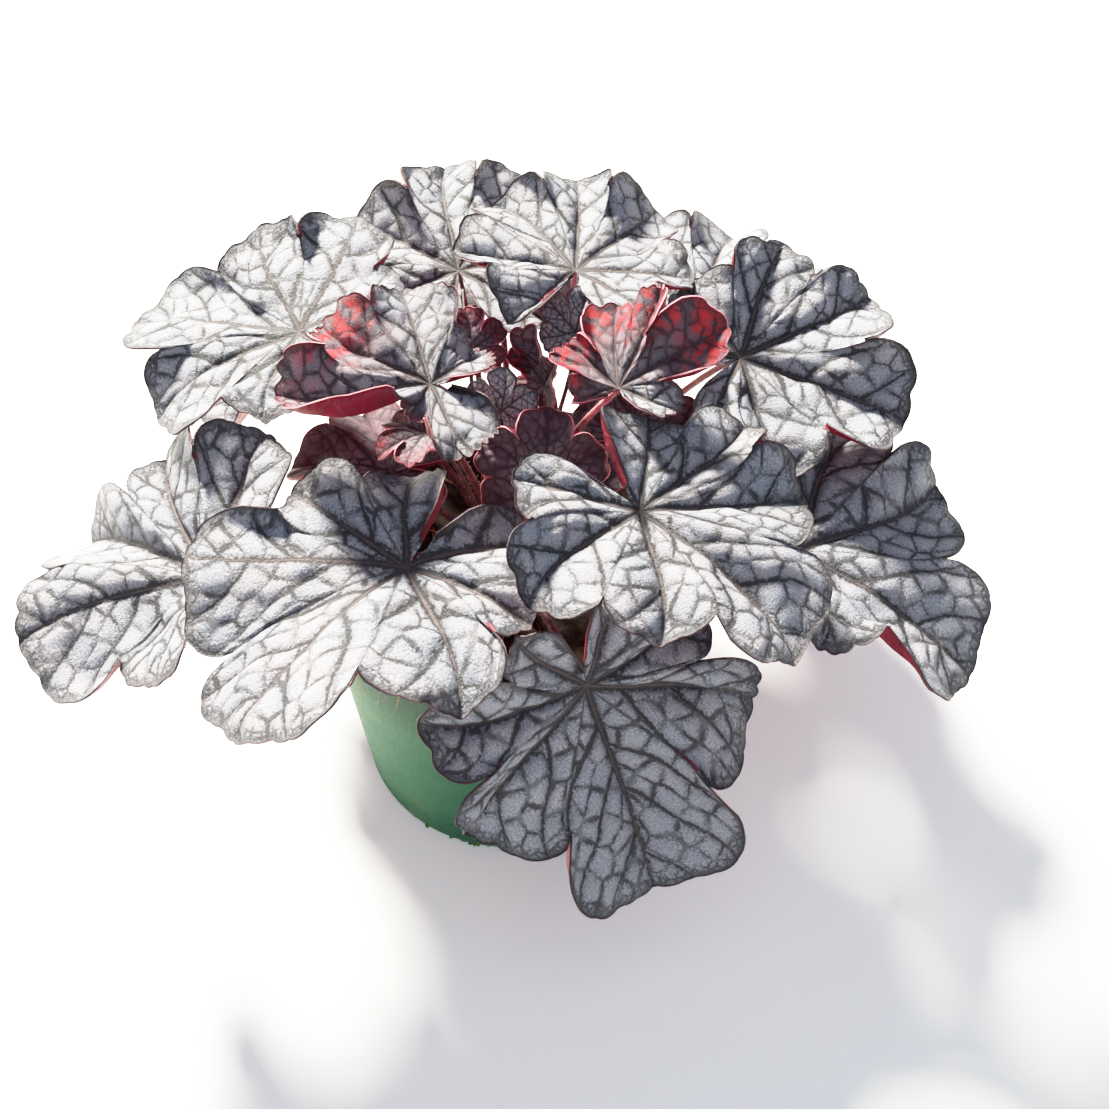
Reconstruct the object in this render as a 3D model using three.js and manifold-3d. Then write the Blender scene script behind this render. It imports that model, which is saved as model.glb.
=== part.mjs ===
// A heuchera (coral bells) in its nursery pot, in millimetres, +Z up.
// The origin is the middle of the pot's underside, on the surface that the pot stands on.
// The pot, the soil, the woody crown and each leaf with its stalk are separate solids.

import * as THREE from 'three';
import { mergeVertices } from 'three/addons/utils/BufferGeometryUtils.js';
import Module from 'manifold-3d';

const wasm = await Module();
wasm.setup();

// ---------------------------------------------------------------- driving dimensions

const clearance = 0.35; // between pieces that touch

const pot = {
  height: 128,
  topRadius: 75, // outside, under the lip
  baseRadius: 60, // outside, where the wall would meet the ground
  wall: 1.6,
  baseThickness: 4.5,
  edgeRounding: 10, // between the wall and the underside
  lip: { reach: 1.4, height: 4 },
  segments: 40,
  channel: { count: 4, width: 9, depth: 2.4, from: 22 }, // drainage channels under the base
  hole: { radius: 4, distance: 40 }, // one drain hole in each channel
};

const soil = { top: 118, mound: 0.5, segments: 24 };

const crown = {
  center: new THREE.Vector3(0, 0, 105),
  radius: 23,
  bottom: 92,
  segments: 16,
  holeDepth: 8, // how deep each stalk stands in the crown
};

const blade = {
  thickness: 0.7,
  sinus: [9, 9], // degrees left open on each side of the stalk
  sinusReach: 0.3, // where the sinus starts, as a share of the basal lobe
  lobeFullness: 3.2, // a higher power makes squarer lobes
  lobeTip: 2.2, // and a higher root makes blunter ones
  scallop: 0.03, // depth of the small rounded teeth, as a share of the radius
  teethPerHalfLobe: 1.5,
  cup: 8, // degrees that the blade rises round the stalk
  pleat: 0.17, // how far the blade puffs up between main veins
  basalPleat: 0.6, // share of that puff on the outer halves of the basal lobes
  wave: { height: 0.05, turns: 3.5, onset: 2 }, // slow waves round the blade
  ruffle: { height: 0.02, turns: 8, onset: 5 }, // quick waves along the margin
  flick: { height: 0.03, from: 0.66, width: 0.16, basalWidth: 0.3, draw: 0.5 },
  rings: [0.4, 0.74, 1], // reach of each ring of corners on a grown leaf
  youngRings: [0.58, 1],
  gapStops: [0, 1 / 6, 0.36, 0.5, 0.64, 5 / 6], // corners from vein to vein
  basalStops: [0, 0.2, 0.45, 0.72], // and from the sinus to the nearest vein
};

const stalk = { sides: 5, steps: 7 };

const sevenLobes = {
  angles: [132, 87, 43, 0, -43, -87, -132],
  lobes: [0.72, 0.88, 0.97, 1, 0.97, 0.88, 0.72],
};

const fiveLobes = {
  angles: [112, 56, 0, -56, -112],
  lobes: [0.78, 0.93, 1, 0.93, 0.78],
};

// Each leaf is placed by its junction, the point where its stalk meets its blade. Its midrib
// points along heading (0 along +X, 90 along +Y), rises by pitch, and the blade turns by roll
// about it. size is the length of the midrib, and angles and lobes give the direction of each
// main vein from the midrib and its length as a share of size, from left to right. curl is
// how many degrees each lobe bends down over that size. flicks are the gaps between lobes
// whose margin turns up, as [gap number, height share] pairs, and notch is how far out the
// gaps reach, as a share of the lobes beside them. twist turns each lobe about its own vein,
// in degrees, its left side up where that is positive, pleats sets single gaps' puff, and
// frill multiplies the waves of the margin. The stalk, of that radius, leaves the crown at
// base, a [lean, compass direction] pair, and bow bends it clear of its neighbours.
const leaves = [
  // Full-grown leaves, front to back.
  { name: 'leaf_front_hanging', junction: [30, -80, 145], base: [40, -70], heading: -50, pitch: -70,
    roll: 12, size: 76, angles: [145, 100, 60, 0, -60, -105, -150],
    lobes: [0.6, 0.7, 0.9, 1.2, 0.9, 0.85, 0.55], curl: [25, 40, 5, -5, 20, 20, 15],
    flicks: [[3, 0.06], [4, 0.08]], notch: 0.7, stalk: 1.6, seed: 1 },
  { name: 'leaf_front_left', junction: [-33, -56, 182], base: [30, -120], bow: [0, -6, -4],
    heading: -127, pitch: 4, roll: 3, size: 84, angles: [155, 100, 55, -5, -60, -90, -145],
    lobes: [0.62, 0.6, 0.8, 1.05, 0.97, 0.64, 0.54], curl: [60, 50, 25, 45, 26, 14, 10],
    twist: [30, 0, 0, 10, -12, 0, 0], pleats: [[3, 0.12], [4, -0.04], [5, -0.04]],
    flicks: [[0, 0.06], [5, 0.08], [7, 0.14]], notch: 0.8, stalk: 1.5, seed: 2 },
  { name: 'leaf_front_right', junction: [49, -38, 191], base: [22, -35], heading: -39, pitch: -9,
    roll: -2, size: 67, angles: [125, 85, 50, -5, -45, -95, -145],
    lobes: [0.6, 0.84, 0.9, 1.16, 0.84, 0.85, 0.7], curl: [0, 18, 14, 28, 30, 30, 10],
    twist: [20, 0, -10, 0, 0, 0, -10], flicks: [[0, 0.12], [2, 0.12], [5, 0.07]], notch: 0.84,
    stalk: 1.5, seed: 3 },
  { name: 'leaf_far_left', junction: [-110, -34, 151], base: [40, -165], heading: -159, pitch: -22,
    roll: 4, size: 76, angles: [145, 100, 55, -10, -55, -90, -140],
    lobes: [0.38, 0.38, 0.66, 1, 1.08, 0.85, 0.76], curl: [70, 60, 0, 14, 34, 18, -10],
    twist: [0, 0, 6, -20, -14, 0, 0], pleats: [[3, -0.06], [4, 0.12]],
    flicks: [[3, 0.09], [6, 0.1]], notch: 0.76, stalk: 1.5, seed: 4 },
  { name: 'leaf_far_right', junction: [109, -22, 150], base: [40, -20], heading: -25, pitch: -17,
    roll: -12, size: 78, angles: [140, 90, 60, 0, -50, -90, -140],
    lobes: [0.65, 0.85, 0.95, 1.05, 0.6, 0.5, 0.4], curl: [10, 0, 0, 30, 25, 25, 30],
    twist: [0, 0, 0, 12, 10, 0, 0], pleats: [[3, 0.1], [4, -0.04], [5, 0.05]],
    flicks: [[1, 0.12], [4, 0.05]], notch: 0.75, stalk: 1.5, seed: 5 },
  { name: 'leaf_left', junction: [-78, 52, 192], base: [32, 125], bow: [8, -4, 12], heading: 155,
    pitch: -14, roll: -12, size: 74, angles: [150, 95, 45, 5, -50, -90, -145],
    lobes: [0.6, 0.55, 0.88, 1, 0.74, 0.76, 0.6], curl: [45, 40, 30, 5, 0, 0, 45],
    twist: [0, 0, -10, 14, 6, 16, 10],
    pleats: [[2, 0.06], [3, 0.04], [4, -0.08], [5, -0.04], [6, -0.06]],
    flicks: [[3, 0.04], [5, 0.12]], notch: 0.8, stalk: 1.5, seed: 6 },
  { name: 'leaf_back_left', junction: [-20, 107, 173], base: [38, 100], bow: [0, -4, 8],
    heading: 108, pitch: 13, roll: -5, size: 63, angles: [155, 100, 42, -10, -45, -95, -140],
    lobes: [0.65, 0.7, 0.82, 0.88, 0.92, 0.9, 0.7], curl: [45, 30, 25, 35, 25, 20, 25],
    flicks: [[2, 0.1], [3, 0.14], [4, 0.12]], notch: 0.8, stalk: 1.3, seed: 7 },
  { name: 'leaf_back_middle', junction: [27, 74, 203], base: [32, 80], heading: 85, pitch: -1,
    roll: 3, size: 58, angles: [145, 90, 45, 5, -35, -80, -125],
    lobes: [0.7, 0.82, 0.9, 0.84, 0.88, 0.8, 0.62], curl: [5, 15, 20, 10, 15, 24, 30],
    twist: [-15, 0, 0, 0, 18, 20, 14], pleats: [[4, 0.05], [5, 0.02], [6, 0.02]],
    flicks: [[3, 0.12], [4, 0.14]], notch: 0.82, sinus: [24, 22], stalk: 1.3, seed: 8 },
  { name: 'leaf_right', junction: [90, 49, 181], base: [34, 5], bow: [0, 18, -6], heading: 29,
    pitch: 6, roll: 28, size: 66, angles: [145, 95, 40, 0, -50, -100, -140],
    lobes: [0.7, 0.56, 0.76, 0.92, 1.02, 0.8, 0.5], curl: [30, 55, 25, 20, 5, 0, 10],
    twist: [0, 10, 10, 0, 0, 0, 0], flicks: [[4, 0.14], [5, 0.12]], notch: 0.79, stalk: 1.4,
    seed: 9 },
  { name: 'leaf_right_low', junction: [104, 46, 136], base: [46, 25], bow: [0, 4, 4], heading: 4,
    pitch: -24, roll: 16, size: 48, ...sevenLobes, curl: [20, 20, 20, 25, 25, 25, 20],
    flicks: [[4, 0.1]], notch: 0.8, stalk: 1.4, seed: 10 },
  { name: 'leaf_back_right', junction: [78, 98, 162], base: [40, 50], heading: 72, pitch: -4,
    roll: 0, size: 56, ...sevenLobes, curl: [20, 20, 25, 20, 25, 20, 20], flicks: [[3, 0.1]],
    notch: 0.8, stalk: 1.4, seed: 11 },
  // Older leaves low behind the plant.
  { name: 'leaf_rear_left', junction: [-84, 98, 142], base: [46, 120], heading: 146, pitch: -28,
    roll: -6, size: 64, ...sevenLobes, curl: [20, 25, 30, 25, 30, 25, 20],
    flicks: [[2, 0.1], [5, 0.1]], notch: 0.8, stalk: 1.5, seed: 12 },
  { name: 'leaf_rear_middle', junction: [-4, 130, 143], base: [44, 85], heading: 94, pitch: -22,
    roll: 0, size: 60, ...sevenLobes, curl: [20, 20, 25, 20, 25, 20, 20], flicks: [[3, 0.12]],
    notch: 0.8, stalk: 1.5, seed: 13 },
  { name: 'leaf_rear_right', junction: [68, 130, 128], base: [48, 65], bow: [0, 0, 6], heading: 64,
    pitch: -28, roll: 0, size: 58, ...sevenLobes, curl: [20, 20, 25, 20, 25, 20, 20],
    flicks: [[4, 0.12]], notch: 0.8, stalk: 1.5, seed: 14 },
  // Young leaves above the crown.
  { name: 'leaf_young_left', junction: [-26, 10, 206], base: [12, 165], bow: [4, 12, 0],
    heading: 176, pitch: 6, roll: -16, size: 50, angles: [125, 65, 12, -24, -68, -138],
    lobes: [0.66, 0.3, 1.12, 0.95, 0.86, 0.52], curl: [45, 10, 15, 5, 40, 30],
    flicks: [[0, 0.1], [1, 0.16], [2, 0.2], [3, 0.1], [5, 0.12]], notch: 0.84, frill: 2.4,
    stalk: 1.3, seed: 16 },
  { name: 'leaf_young_right', junction: [42, 8, 206], base: [20, 15], bow: [-4, 20, 8], heading: 55,
    pitch: 28, roll: -14, size: 42, angles: [120, 80, 35, 0, -40, -85],
    lobes: [0.5, 0.66, 0.86, 0.92, 1.12, 0.62], curl: [30, 20, 5, 0, 15, 45],
    flicks: [[2, 0.12], [4, 0.12], [5, 0.14]], notch: 0.56, sinus: [48, 72], frill: 2.6, stalk: 1.2,
    seed: 17 },
  { name: 'leaf_young_brown', junction: [-30, 16, 174], base: [22, 140], heading: 200, pitch: -10,
    roll: 10, size: 20, ...fiveLobes, curl: [20, 25, 30, 25, 20], flicks: [[2, 0.14]], notch: 0.56,
    stalk: 0.9, seed: 22 },
  // Small leaves in the shade inside the plant.
  { name: 'leaf_inner_left', junction: [-44, 20, 148], base: [32, 155], heading: 168, pitch: -4,
    roll: 4, size: 42, ...fiveLobes, curl: [20, 25, 25, 25, 20], flicks: [[2, 0.1]], notch: 0.76,
    stalk: 1.2, seed: 18 },
  { name: 'leaf_inner_right', junction: [46, 26, 158], base: [32, 30], heading: 14, pitch: 4,
    roll: 0, size: 34, ...fiveLobes, curl: [20, 20, 20, 20, 20], flicks: [[3, 0.12]], notch: 0.76,
    stalk: 1.2, seed: 19 },
  { name: 'leaf_inner_middle', junction: [14, 4, 158], base: [8, 15], heading: 84, pitch: 46,
    roll: 0, size: 30, ...fiveLobes, curl: [10, 15, 10, 15, 10], flicks: [[2, 0.1]], notch: 0.74,
    stalk: 1.1, seed: 20 },
  { name: 'leaf_inner_front', junction: [-6, -23, 147], base: [16, -140], heading: -95, pitch: 14,
    roll: 0, size: 22, ...fiveLobes, curl: [15, 20, 20, 20, 15], flicks: [[1, 0.1]], notch: 0.76,
    stalk: 1.1, seed: 21 },
  // Leaves still unfolding in the middle.
  { name: 'leaf_bud_left', junction: [-13, 49, 185], base: [24, 105], heading: 100, pitch: 38,
    roll: 6, size: 17, ...fiveLobes, curl: [-20, -10, 20, -10, -20],
    flicks: [[1, 0.16], [2, 0.18], [3, 0.16]], notch: 0.54, stalk: 0.9, seed: 23 },
  { name: 'leaf_bud_upright', junction: [15, 39, 176], base: [16, 60], heading: 80, pitch: 66,
    roll: -46, size: 26, angles: [80, 40, 0, -40, -80], lobes: [0.5, 0.75, 1, 0.75, 0.5],
    curl: [-40, -30, -10, -20, -20], flicks: [[1, 0.14], [2, 0.1]], notch: 0.62, stalk: 1,
    seed: 24 },
  { name: 'leaf_bud_right', junction: [27, 55, 189], base: [28, 60], heading: 70, pitch: 40,
    roll: 0, size: 18, ...fiveLobes, curl: [10, 15, 20, 15, 10], flicks: [[2, 0.14]], notch: 0.6,
    stalk: 0.9, seed: 25 },
  { name: 'leaf_bud_pale', junction: [-1, 28, 174], base: [14, 105], heading: 84, pitch: 60,
    roll: -10, size: 17, ...fiveLobes, curl: [15, 20, 20, 20, 15], flicks: [[1, 0.12]], notch: 0.66,
    stalk: 0.9, seed: 26 },
];

// ---------------------------------------------------------------- helpers

const rad = THREE.MathUtils.degToRad;

// From 0 to 1 as t is, slow at both ends.
function ease01(t) {
  return (1 - Math.cos(Math.PI * t)) / 2;
}

// The same small generator for every leaf, so a seed always gives the same ruffles.
function phaseFromSeed(seed, index) {
  return 2 * Math.PI * ((Math.sin(seed * 12.9898 + index * 78.233) * 43758.5453) % 1);
}

function solidFromGeometry(geometry) {
  const bare = geometry.clone();
  bare.deleteAttribute('normal');
  bare.deleteAttribute('uv');
  const merged = mergeVertices(bare, 1e-4);
  return new wasm.Manifold(new wasm.Mesh({
    numProp: 3,
    vertProperties: new Float32Array(merged.attributes.position.array),
    triVerts: new Uint32Array(merged.index.array),
  }));
}

function geometryFromSolid(solid) {
  const mesh = solid.getMesh();
  const geometry = new THREE.BufferGeometry();
  geometry.setAttribute('position', new THREE.BufferAttribute(mesh.vertProperties, 3));
  geometry.setIndex(new THREE.BufferAttribute(mesh.triVerts, 1));
  geometry.computeVertexNormals();
  return geometry;
}

function lathe(profile, segments) {
  const points = profile.map(([radius, z]) => new THREE.Vector2(radius, z));
  return new THREE.LatheGeometry(points, segments).rotateX(Math.PI / 2);
}

function namedMesh(name, geometry, material) {
  const mesh = new THREE.Mesh(geometry, material);
  mesh.name = name;
  return mesh;
}

// ---------------------------------------------------------------- leaf blade

// The leaf's own axes: along the midrib, to its left, and out of its upper face.
function leafAxes({ heading, pitch, roll }) {
  const h = rad(heading);
  const p = rad(pitch);
  const along = new THREE.Vector3(
    Math.cos(h) * Math.cos(p), Math.sin(h) * Math.cos(p), Math.sin(p));
  const level = new THREE.Vector3(-Math.sin(h), Math.cos(h), 0);
  const upright = along.clone().cross(level);
  const r = rad(roll);
  const left = level.clone().multiplyScalar(Math.cos(r)).addScaledVector(upright, Math.sin(r));
  const up = upright.clone().multiplyScalar(Math.cos(r)).addScaledVector(level, -Math.sin(r));
  return { along, left, up };
}

function leafShape(leaf) {
  const angles = leaf.angles.map(rad);
  const lengths = leaf.lobes.map((share) => share * leaf.size);
  const flicks = new Array(angles.length + 1).fill(blade.flick.height);
  for (const [gap, height] of leaf.flicks) {
    flicks[gap] = height;
  }
  const pleats = new Array(angles.length + 1).fill(blade.pleat);
  for (const [gap, height] of leaf.pleats ?? []) {
    pleats[gap] = height;
  }
  return {
    size: leaf.size,
    angles,
    lengths,
    curls: leaf.curl.map(rad),
    flicks,
    pleats,
    slants: (leaf.twist ?? angles.map(() => 0)).map((turn) => Math.tan(rad(turn))),
    frill: leaf.frill ?? 1,
    notch: leaf.notch,
    ends: (leaf.sinus ?? blade.sinus).map((opening) => Math.PI - rad(opening)),
    phases: [0, 1].map((index) => phaseFromSeed(leaf.seed, index)),
  };
}

// Gap k lies to the right of vein k - 1 and to the left of vein k. The first and the last
// gap are the outer halves of the basal lobes. across runs from 0 to 1 from left to right.
function gapAt(shape, angle) {
  const { angles, ends } = shape;
  let k = 0;
  while (k < angles.length && angle < angles[k]) {
    k += 1;
  }
  const leftAngle = k === 0 ? ends[0] : angles[k - 1];
  const rightAngle = k === angles.length ? -ends[1] : angles[k];
  const across = THREE.MathUtils.clamp((leftAngle - angle) / (leftAngle - rightAngle), 0, 1);
  const basal = k === 0 || k === angles.length;
  const leftVein = Math.max(k - 1, 0);
  const rightVein = Math.min(k, angles.length - 1);
  return { k, across, basal, leftVein, rightVein };
}

function outlineRadius(shape, gap) {
  const { lengths, notch } = shape;
  const { across, basal, leftVein, rightVein } = gap;
  let fromVein;
  let radius;
  if (basal) {
    fromVein = gap.k === 0 ? 1 - across : across;
    const start = blade.sinusReach;
    const rounding = Math.sqrt(1 - fromVein ** blade.lobeFullness);
    radius = lengths[leftVein] * (start + (1 - start) * rounding);
  } else {
    fromVein = across < 0.5 ? 2 * across : 2 * (1 - across);
    const tip = across < 0.5 ? lengths[leftVein] : lengths[rightVein];
    const floor = notch * (lengths[leftVein] + lengths[rightVein]) / 2;
    radius = floor + (tip - floor) * (1 - fromVein ** blade.lobeFullness) ** (1 / blade.lobeTip);
  }
  const tooth = Math.abs(Math.cos(Math.PI * blade.teethPerHalfLobe * fromVein));
  return radius * (1 - blade.scallop * (1 - tooth));
}

// A point of the upper face, reach 0 at the stalk to 1 at the margin.
function bladePoint(leaf, shape, axes, reach, angle) {
  const gap = gapAt(shape, angle);
  const { k, across, basal, leftVein, rightVein } = gap;
  const distance = reach * outlineRadius(shape, gap);
  const ease = ease01(across);
  const curl = shape.curls[leftVein] * (1 - ease) + shape.curls[rightVein] * ease;
  const bend = curl / shape.size + 1e-6;
  const cup = rad(blade.cup);
  let out = (Math.sin(cup) - Math.sin(cup - bend * distance)) / bend;
  let height = (Math.cos(cup - bend * distance) - Math.cos(cup)) / bend;
  const fromVein = k === 0 ? 1 - across : across;
  const puff = basal
    ? blade.basalPleat * Math.sin(Math.PI * fromVein / 2)
    : Math.sin(Math.PI * across);
  height += shape.pleats[k] * distance * puff;
  height += distance * (1 - ease) * shape.slants[leftVein] * Math.sin(angle - shape.angles[leftVein]);
  height += distance * ease * shape.slants[rightVein] * Math.sin(angle - shape.angles[rightVein]);
  [blade.wave, blade.ruffle].forEach(({ height: rise, turns, onset }, i) => {
    const swing = Math.sin(turns * angle + shape.phases[i]);
    height += shape.frill * rise * shape.size * reach ** onset * swing;
  });
  const { from, width, basalWidth, draw } = blade.flick;
  const offNotch = basal ? (1 - fromVein) / basalWidth : (across - 0.5) / width;
  const turnedUp = Math.max(0, (reach - from) / (1 - from)) ** 2;
  const flick = shape.flicks[k] * Math.exp(-(offNotch ** 2)) * turnedUp;
  height += flick * shape.size;
  out *= 1 - draw * flick;
  return new THREE.Vector3(...leaf.junction)
    .addScaledVector(axes.along, out * Math.cos(angle))
    .addScaledVector(axes.left, out * Math.sin(angle))
    .addScaledVector(axes.up, height);
}

// Angles round the blade from one side of the sinus to the other, a few in each gap.
function marginAngles(shape) {
  const [first, last] = [shape.angles[0], shape.angles.at(-1)];
  const [leftEnd, rightEnd] = [shape.ends[0], -shape.ends[1]];
  const angles = blade.basalStops.map((stop) => leftEnd + (first - leftEnd) * stop);
  for (let k = 0; k < shape.angles.length - 1; k += 1) {
    const [left, right] = [shape.angles[k], shape.angles[k + 1]];
    angles.push(...blade.gapStops.map((stop) => left + (right - left) * stop));
  }
  angles.push(last);
  const mirrored = blade.basalStops.toReversed();
  angles.push(...mirrored.map((stop) => rightEnd + (last - rightEnd) * stop));
  return angles;
}

// A closed blade: both faces carry the same triangles, a leaf's thickness apart.
function bladeGeometry(leaf, shape, axes) {
  const angles = marginAngles(shape);
  const rings = leaf.size < 40 ? blade.youngRings : blade.rings;
  const columns = angles.length;
  const upper = [new THREE.Vector3(...leaf.junction)];
  for (const reach of rings) {
    for (const angle of angles) {
      upper.push(bladePoint(leaf, shape, axes, reach, angle));
    }
  }
  const at = (ring, column) => 1 + ring * columns + column;

  // The innermost ring has only every second corner, and the stalk's point closes it.
  const faces = [];
  for (let j = 0; j < columns - 1; j += 2) {
    faces.push([0, at(0, j + 2), at(0, j)]);
    faces.push([at(0, j), at(1, j + 1), at(1, j)]);
    faces.push([at(0, j), at(0, j + 2), at(1, j + 1)]);
    faces.push([at(0, j + 2), at(1, j + 2), at(1, j + 1)]);
  }
  for (let i = 1; i < rings.length - 1; i += 1) {
    for (let j = 0; j < columns - 1; j += 1) {
      faces.push([at(i, j + 1), at(i + 1, j + 1), at(i + 1, j)]);
      faces.push([at(i, j + 1), at(i + 1, j), at(i, j)]);
    }
  }

  const normals = upper.map(() => new THREE.Vector3());
  for (const [a, b, c] of faces) {
    const side = upper[b].clone().sub(upper[a]);
    const normal = side.cross(upper[c].clone().sub(upper[a]));
    for (const corner of [a, b, c]) {
      normals[corner].add(normal);
    }
  }
  const lower = upper.map((point, index) => point.clone()
    .addScaledVector(normals[index].normalize(), -blade.thickness));

  // The margin, walked so that the blade is on its left, joins the two faces.
  const last = rings.length - 1;
  const margin = [0];
  for (let i = 0; i < last; i += 1) {
    margin.push(at(i, columns - 1));
  }
  for (let j = columns - 1; j >= 0; j -= 1) {
    margin.push(at(last, j));
  }
  for (let i = last - 1; i >= 0; i -= 1) {
    margin.push(at(i, 0));
  }
  const offset = upper.length;
  const index = [];
  for (const [a, b, c] of faces) {
    index.push(a, b, c, a + offset, c + offset, b + offset);
  }
  margin.forEach((from, i) => {
    const to = margin[(i + 1) % margin.length];
    index.push(to, from, from + offset, to, from + offset, to + offset);
  });

  const positions = [...upper, ...lower].flatMap((point) => point.toArray());
  const geometry = new THREE.BufferGeometry();
  geometry.setAttribute('position', new THREE.Float32BufferAttribute(positions, 3));
  geometry.setIndex(index);
  return geometry;
}

// ---------------------------------------------------------------- leaf stalk

// The stalk leaves the crown near upright, arches out and comes up under the blade.
function stalkCurve(leaf, axes, sunk) {
  const junction = new THREE.Vector3(...leaf.junction);
  const lean = rad(leaf.base[0]);
  const azimuth = rad(leaf.base[1]);
  const start = new THREE.Vector3(
    Math.sin(lean) * Math.cos(azimuth), Math.sin(lean) * Math.sin(azimuth), Math.cos(lean));
  const arrival = axes.along.clone().multiplyScalar(0.5).addScaledVector(axes.up, 0.86);
  const foot = crown.center.clone()
    .addScaledVector(start, crown.radius - crown.holeDepth - sunk);
  const length = foot.distanceTo(junction);
  const bow = new THREE.Vector3(...(leaf.bow ?? [0, 0, 0]));
  return new THREE.CubicBezierCurve3(
    foot,
    foot.clone().addScaledVector(start, crown.holeDepth + 0.3 * length).add(bow),
    junction.clone().addScaledVector(arrival, -0.3 * length).add(bow),
    junction.clone().addScaledVector(arrival, 0.1),
  );
}

function stalkGeometry(leaf, axes, extra) {
  const radius = leaf.stalk + extra;
  const section = new THREE.Shape();
  for (let i = 0; i < stalk.sides; i += 1) {
    const turn = 2 * Math.PI * i / stalk.sides;
    const point = [radius * Math.cos(turn), radius * Math.sin(turn)];
    if (i === 0) {
      section.moveTo(...point);
    } else {
      section.lineTo(...point);
    }
  }
  section.closePath();
  return new THREE.ExtrudeGeometry(section, {
    steps: stalk.steps,
    extrudePath: stalkCurve(leaf, axes, extra),
  });
}

function leafSolid(leaf) {
  const axes = leafAxes(leaf);
  const shape = leafShape(leaf);
  const bladePart = solidFromGeometry(bladeGeometry(leaf, shape, axes));
  const stalkPart = solidFromGeometry(stalkGeometry(leaf, axes, 0));
  return bladePart.add(stalkPart);
}

// ---------------------------------------------------------------- pot, soil and crown

// The outside radius of the pot's wall at a height.
function wallRadius(z) {
  return pot.baseRadius + (pot.topRadius - pot.baseRadius) * z / pot.height;
}

function potSolid() {
  const round = pot.edgeRounding;
  const footRadius = wallRadius(round) - round;
  const profile = [[0, 0]];
  for (let i = 0; i <= 4; i += 1) {
    const turn = rad(90 * i / 4);
    profile.push([footRadius + round * Math.sin(turn), round * (1 - Math.cos(turn))]);
  }
  const lipFoot = pot.height - pot.lip.height;
  profile.push([wallRadius(lipFoot), lipFoot]);
  profile.push([pot.topRadius + pot.lip.reach, lipFoot + 0.6]);
  profile.push([pot.topRadius + pot.lip.reach, pot.height - 0.8]);
  profile.push([pot.topRadius + pot.lip.reach - 0.8, pot.height]);
  profile.push([wallRadius(pot.height) - pot.wall, pot.height]);
  profile.push([wallRadius(round + 4) - pot.wall, round + 4]);
  profile.push([footRadius, pot.baseThickness]);
  profile.push([0, pot.baseThickness]);
  let solid = solidFromGeometry(lathe(profile, pot.segments));

  const { count, width, depth, from } = pot.channel;
  const channelLength = pot.baseRadius + 5 - from;
  for (let i = 0; i < count; i += 1) {
    const turn = 2 * Math.PI * (i + 0.5) / count;
    const channel = new THREE.BoxGeometry(channelLength, width, 2 * depth)
      .translate(from + channelLength / 2, 0, 0)
      .rotateZ(turn);
    const hole = new THREE.CylinderGeometry(pot.hole.radius, pot.hole.radius, 20, 10)
      .rotateX(Math.PI / 2)
      .translate(pot.hole.distance, 0, 0)
      .rotateZ(turn);
    solid = solid.subtract(solidFromGeometry(channel)).subtract(solidFromGeometry(hole));
  }
  return solid;
}

function crownProfile(extra) {
  const radius = crown.radius + extra;
  const profile = [[0, crown.bottom - extra], [radius * 0.7, crown.bottom - extra]];
  const steps = 6;
  for (let i = 0; i <= steps; i += 1) {
    const lean = rad(90 - 90 * i / steps);
    profile.push([radius * Math.sin(lean), crown.center.z + radius * Math.cos(lean)]);
  }
  profile[profile.length - 1][0] = 0;
  return profile;
}

function crownSolid() {
  let solid = solidFromGeometry(lathe(crownProfile(0), crown.segments));
  for (const leaf of leaves) {
    const hole = stalkGeometry(leaf, leafAxes(leaf), clearance);
    solid = solid.subtract(solidFromGeometry(hole));
  }
  return solid;
}

function soilSolid() {
  const bottom = pot.baseThickness + clearance;
  const round = pot.edgeRounding;
  const wallInside = (z) => wallRadius(z) - pot.wall - clearance - 0.1;
  const profile = [
    [0, bottom],
    [wallRadius(round) - round - 0.4, bottom],
    [wallInside(round + 4.4), round + 4.4],
    [wallInside(soil.top), soil.top],
    [wallInside(soil.top) * 0.75, soil.top + soil.mound * 0.2],
    [wallInside(soil.top) * 0.45, soil.top + soil.mound * 0.7],
    [0, soil.top + soil.mound],
  ];
  const body = solidFromGeometry(lathe(profile, soil.segments));
  return body.subtract(solidFromGeometry(lathe(crownProfile(clearance), crown.segments)));
}

// ---------------------------------------------------------------- materials and assembly

const potPlastic = new THREE.MeshStandardMaterial({
  color: 0x6f9a80, roughness: 0.5, metalness: 0 });
const pottingSoil = new THREE.MeshStandardMaterial({
  color: 0x1c1613, roughness: 1, metalness: 0 });
const crownWood = new THREE.MeshStandardMaterial({
  color: 0x4a2f26, roughness: 0.9, metalness: 0 });
const silverLeaf = new THREE.MeshStandardMaterial({
  color: 0x8d8a99, roughness: 0.6, metalness: 0, side: THREE.DoubleSide });
const youngLeaf = new THREE.MeshStandardMaterial({
  color: 0x8c2f42, roughness: 0.55, metalness: 0, side: THREE.DoubleSide });

const plant = new THREE.Group();
plant.add(namedMesh('pot', geometryFromSolid(potSolid()), potPlastic));
plant.add(namedMesh('soil', geometryFromSolid(soilSolid()), pottingSoil));
plant.add(namedMesh('crown', geometryFromSolid(crownSolid()), crownWood));
for (const leaf of leaves) {
  const young = leaf.name.startsWith('leaf_young') || leaf.name.startsWith('leaf_bud');
  plant.add(namedMesh(leaf.name, geometryFromSolid(leafSolid(leaf)),
    young ? youngLeaf : silverLeaf));
}

export default plant;
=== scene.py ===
"""The looks of a heuchera in its nursery pot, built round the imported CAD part.

Shapes are worked out in millimetres in the part's own frame and turned into metres as each
mesh is made. Every leaf follows the same formula as its CAD solid, on a much finer grid, with
its veins sunk into it and the tissue between them puffed up.
"""

import math

import bmesh
import bpy
import numpy as np
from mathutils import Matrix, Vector, noise


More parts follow.
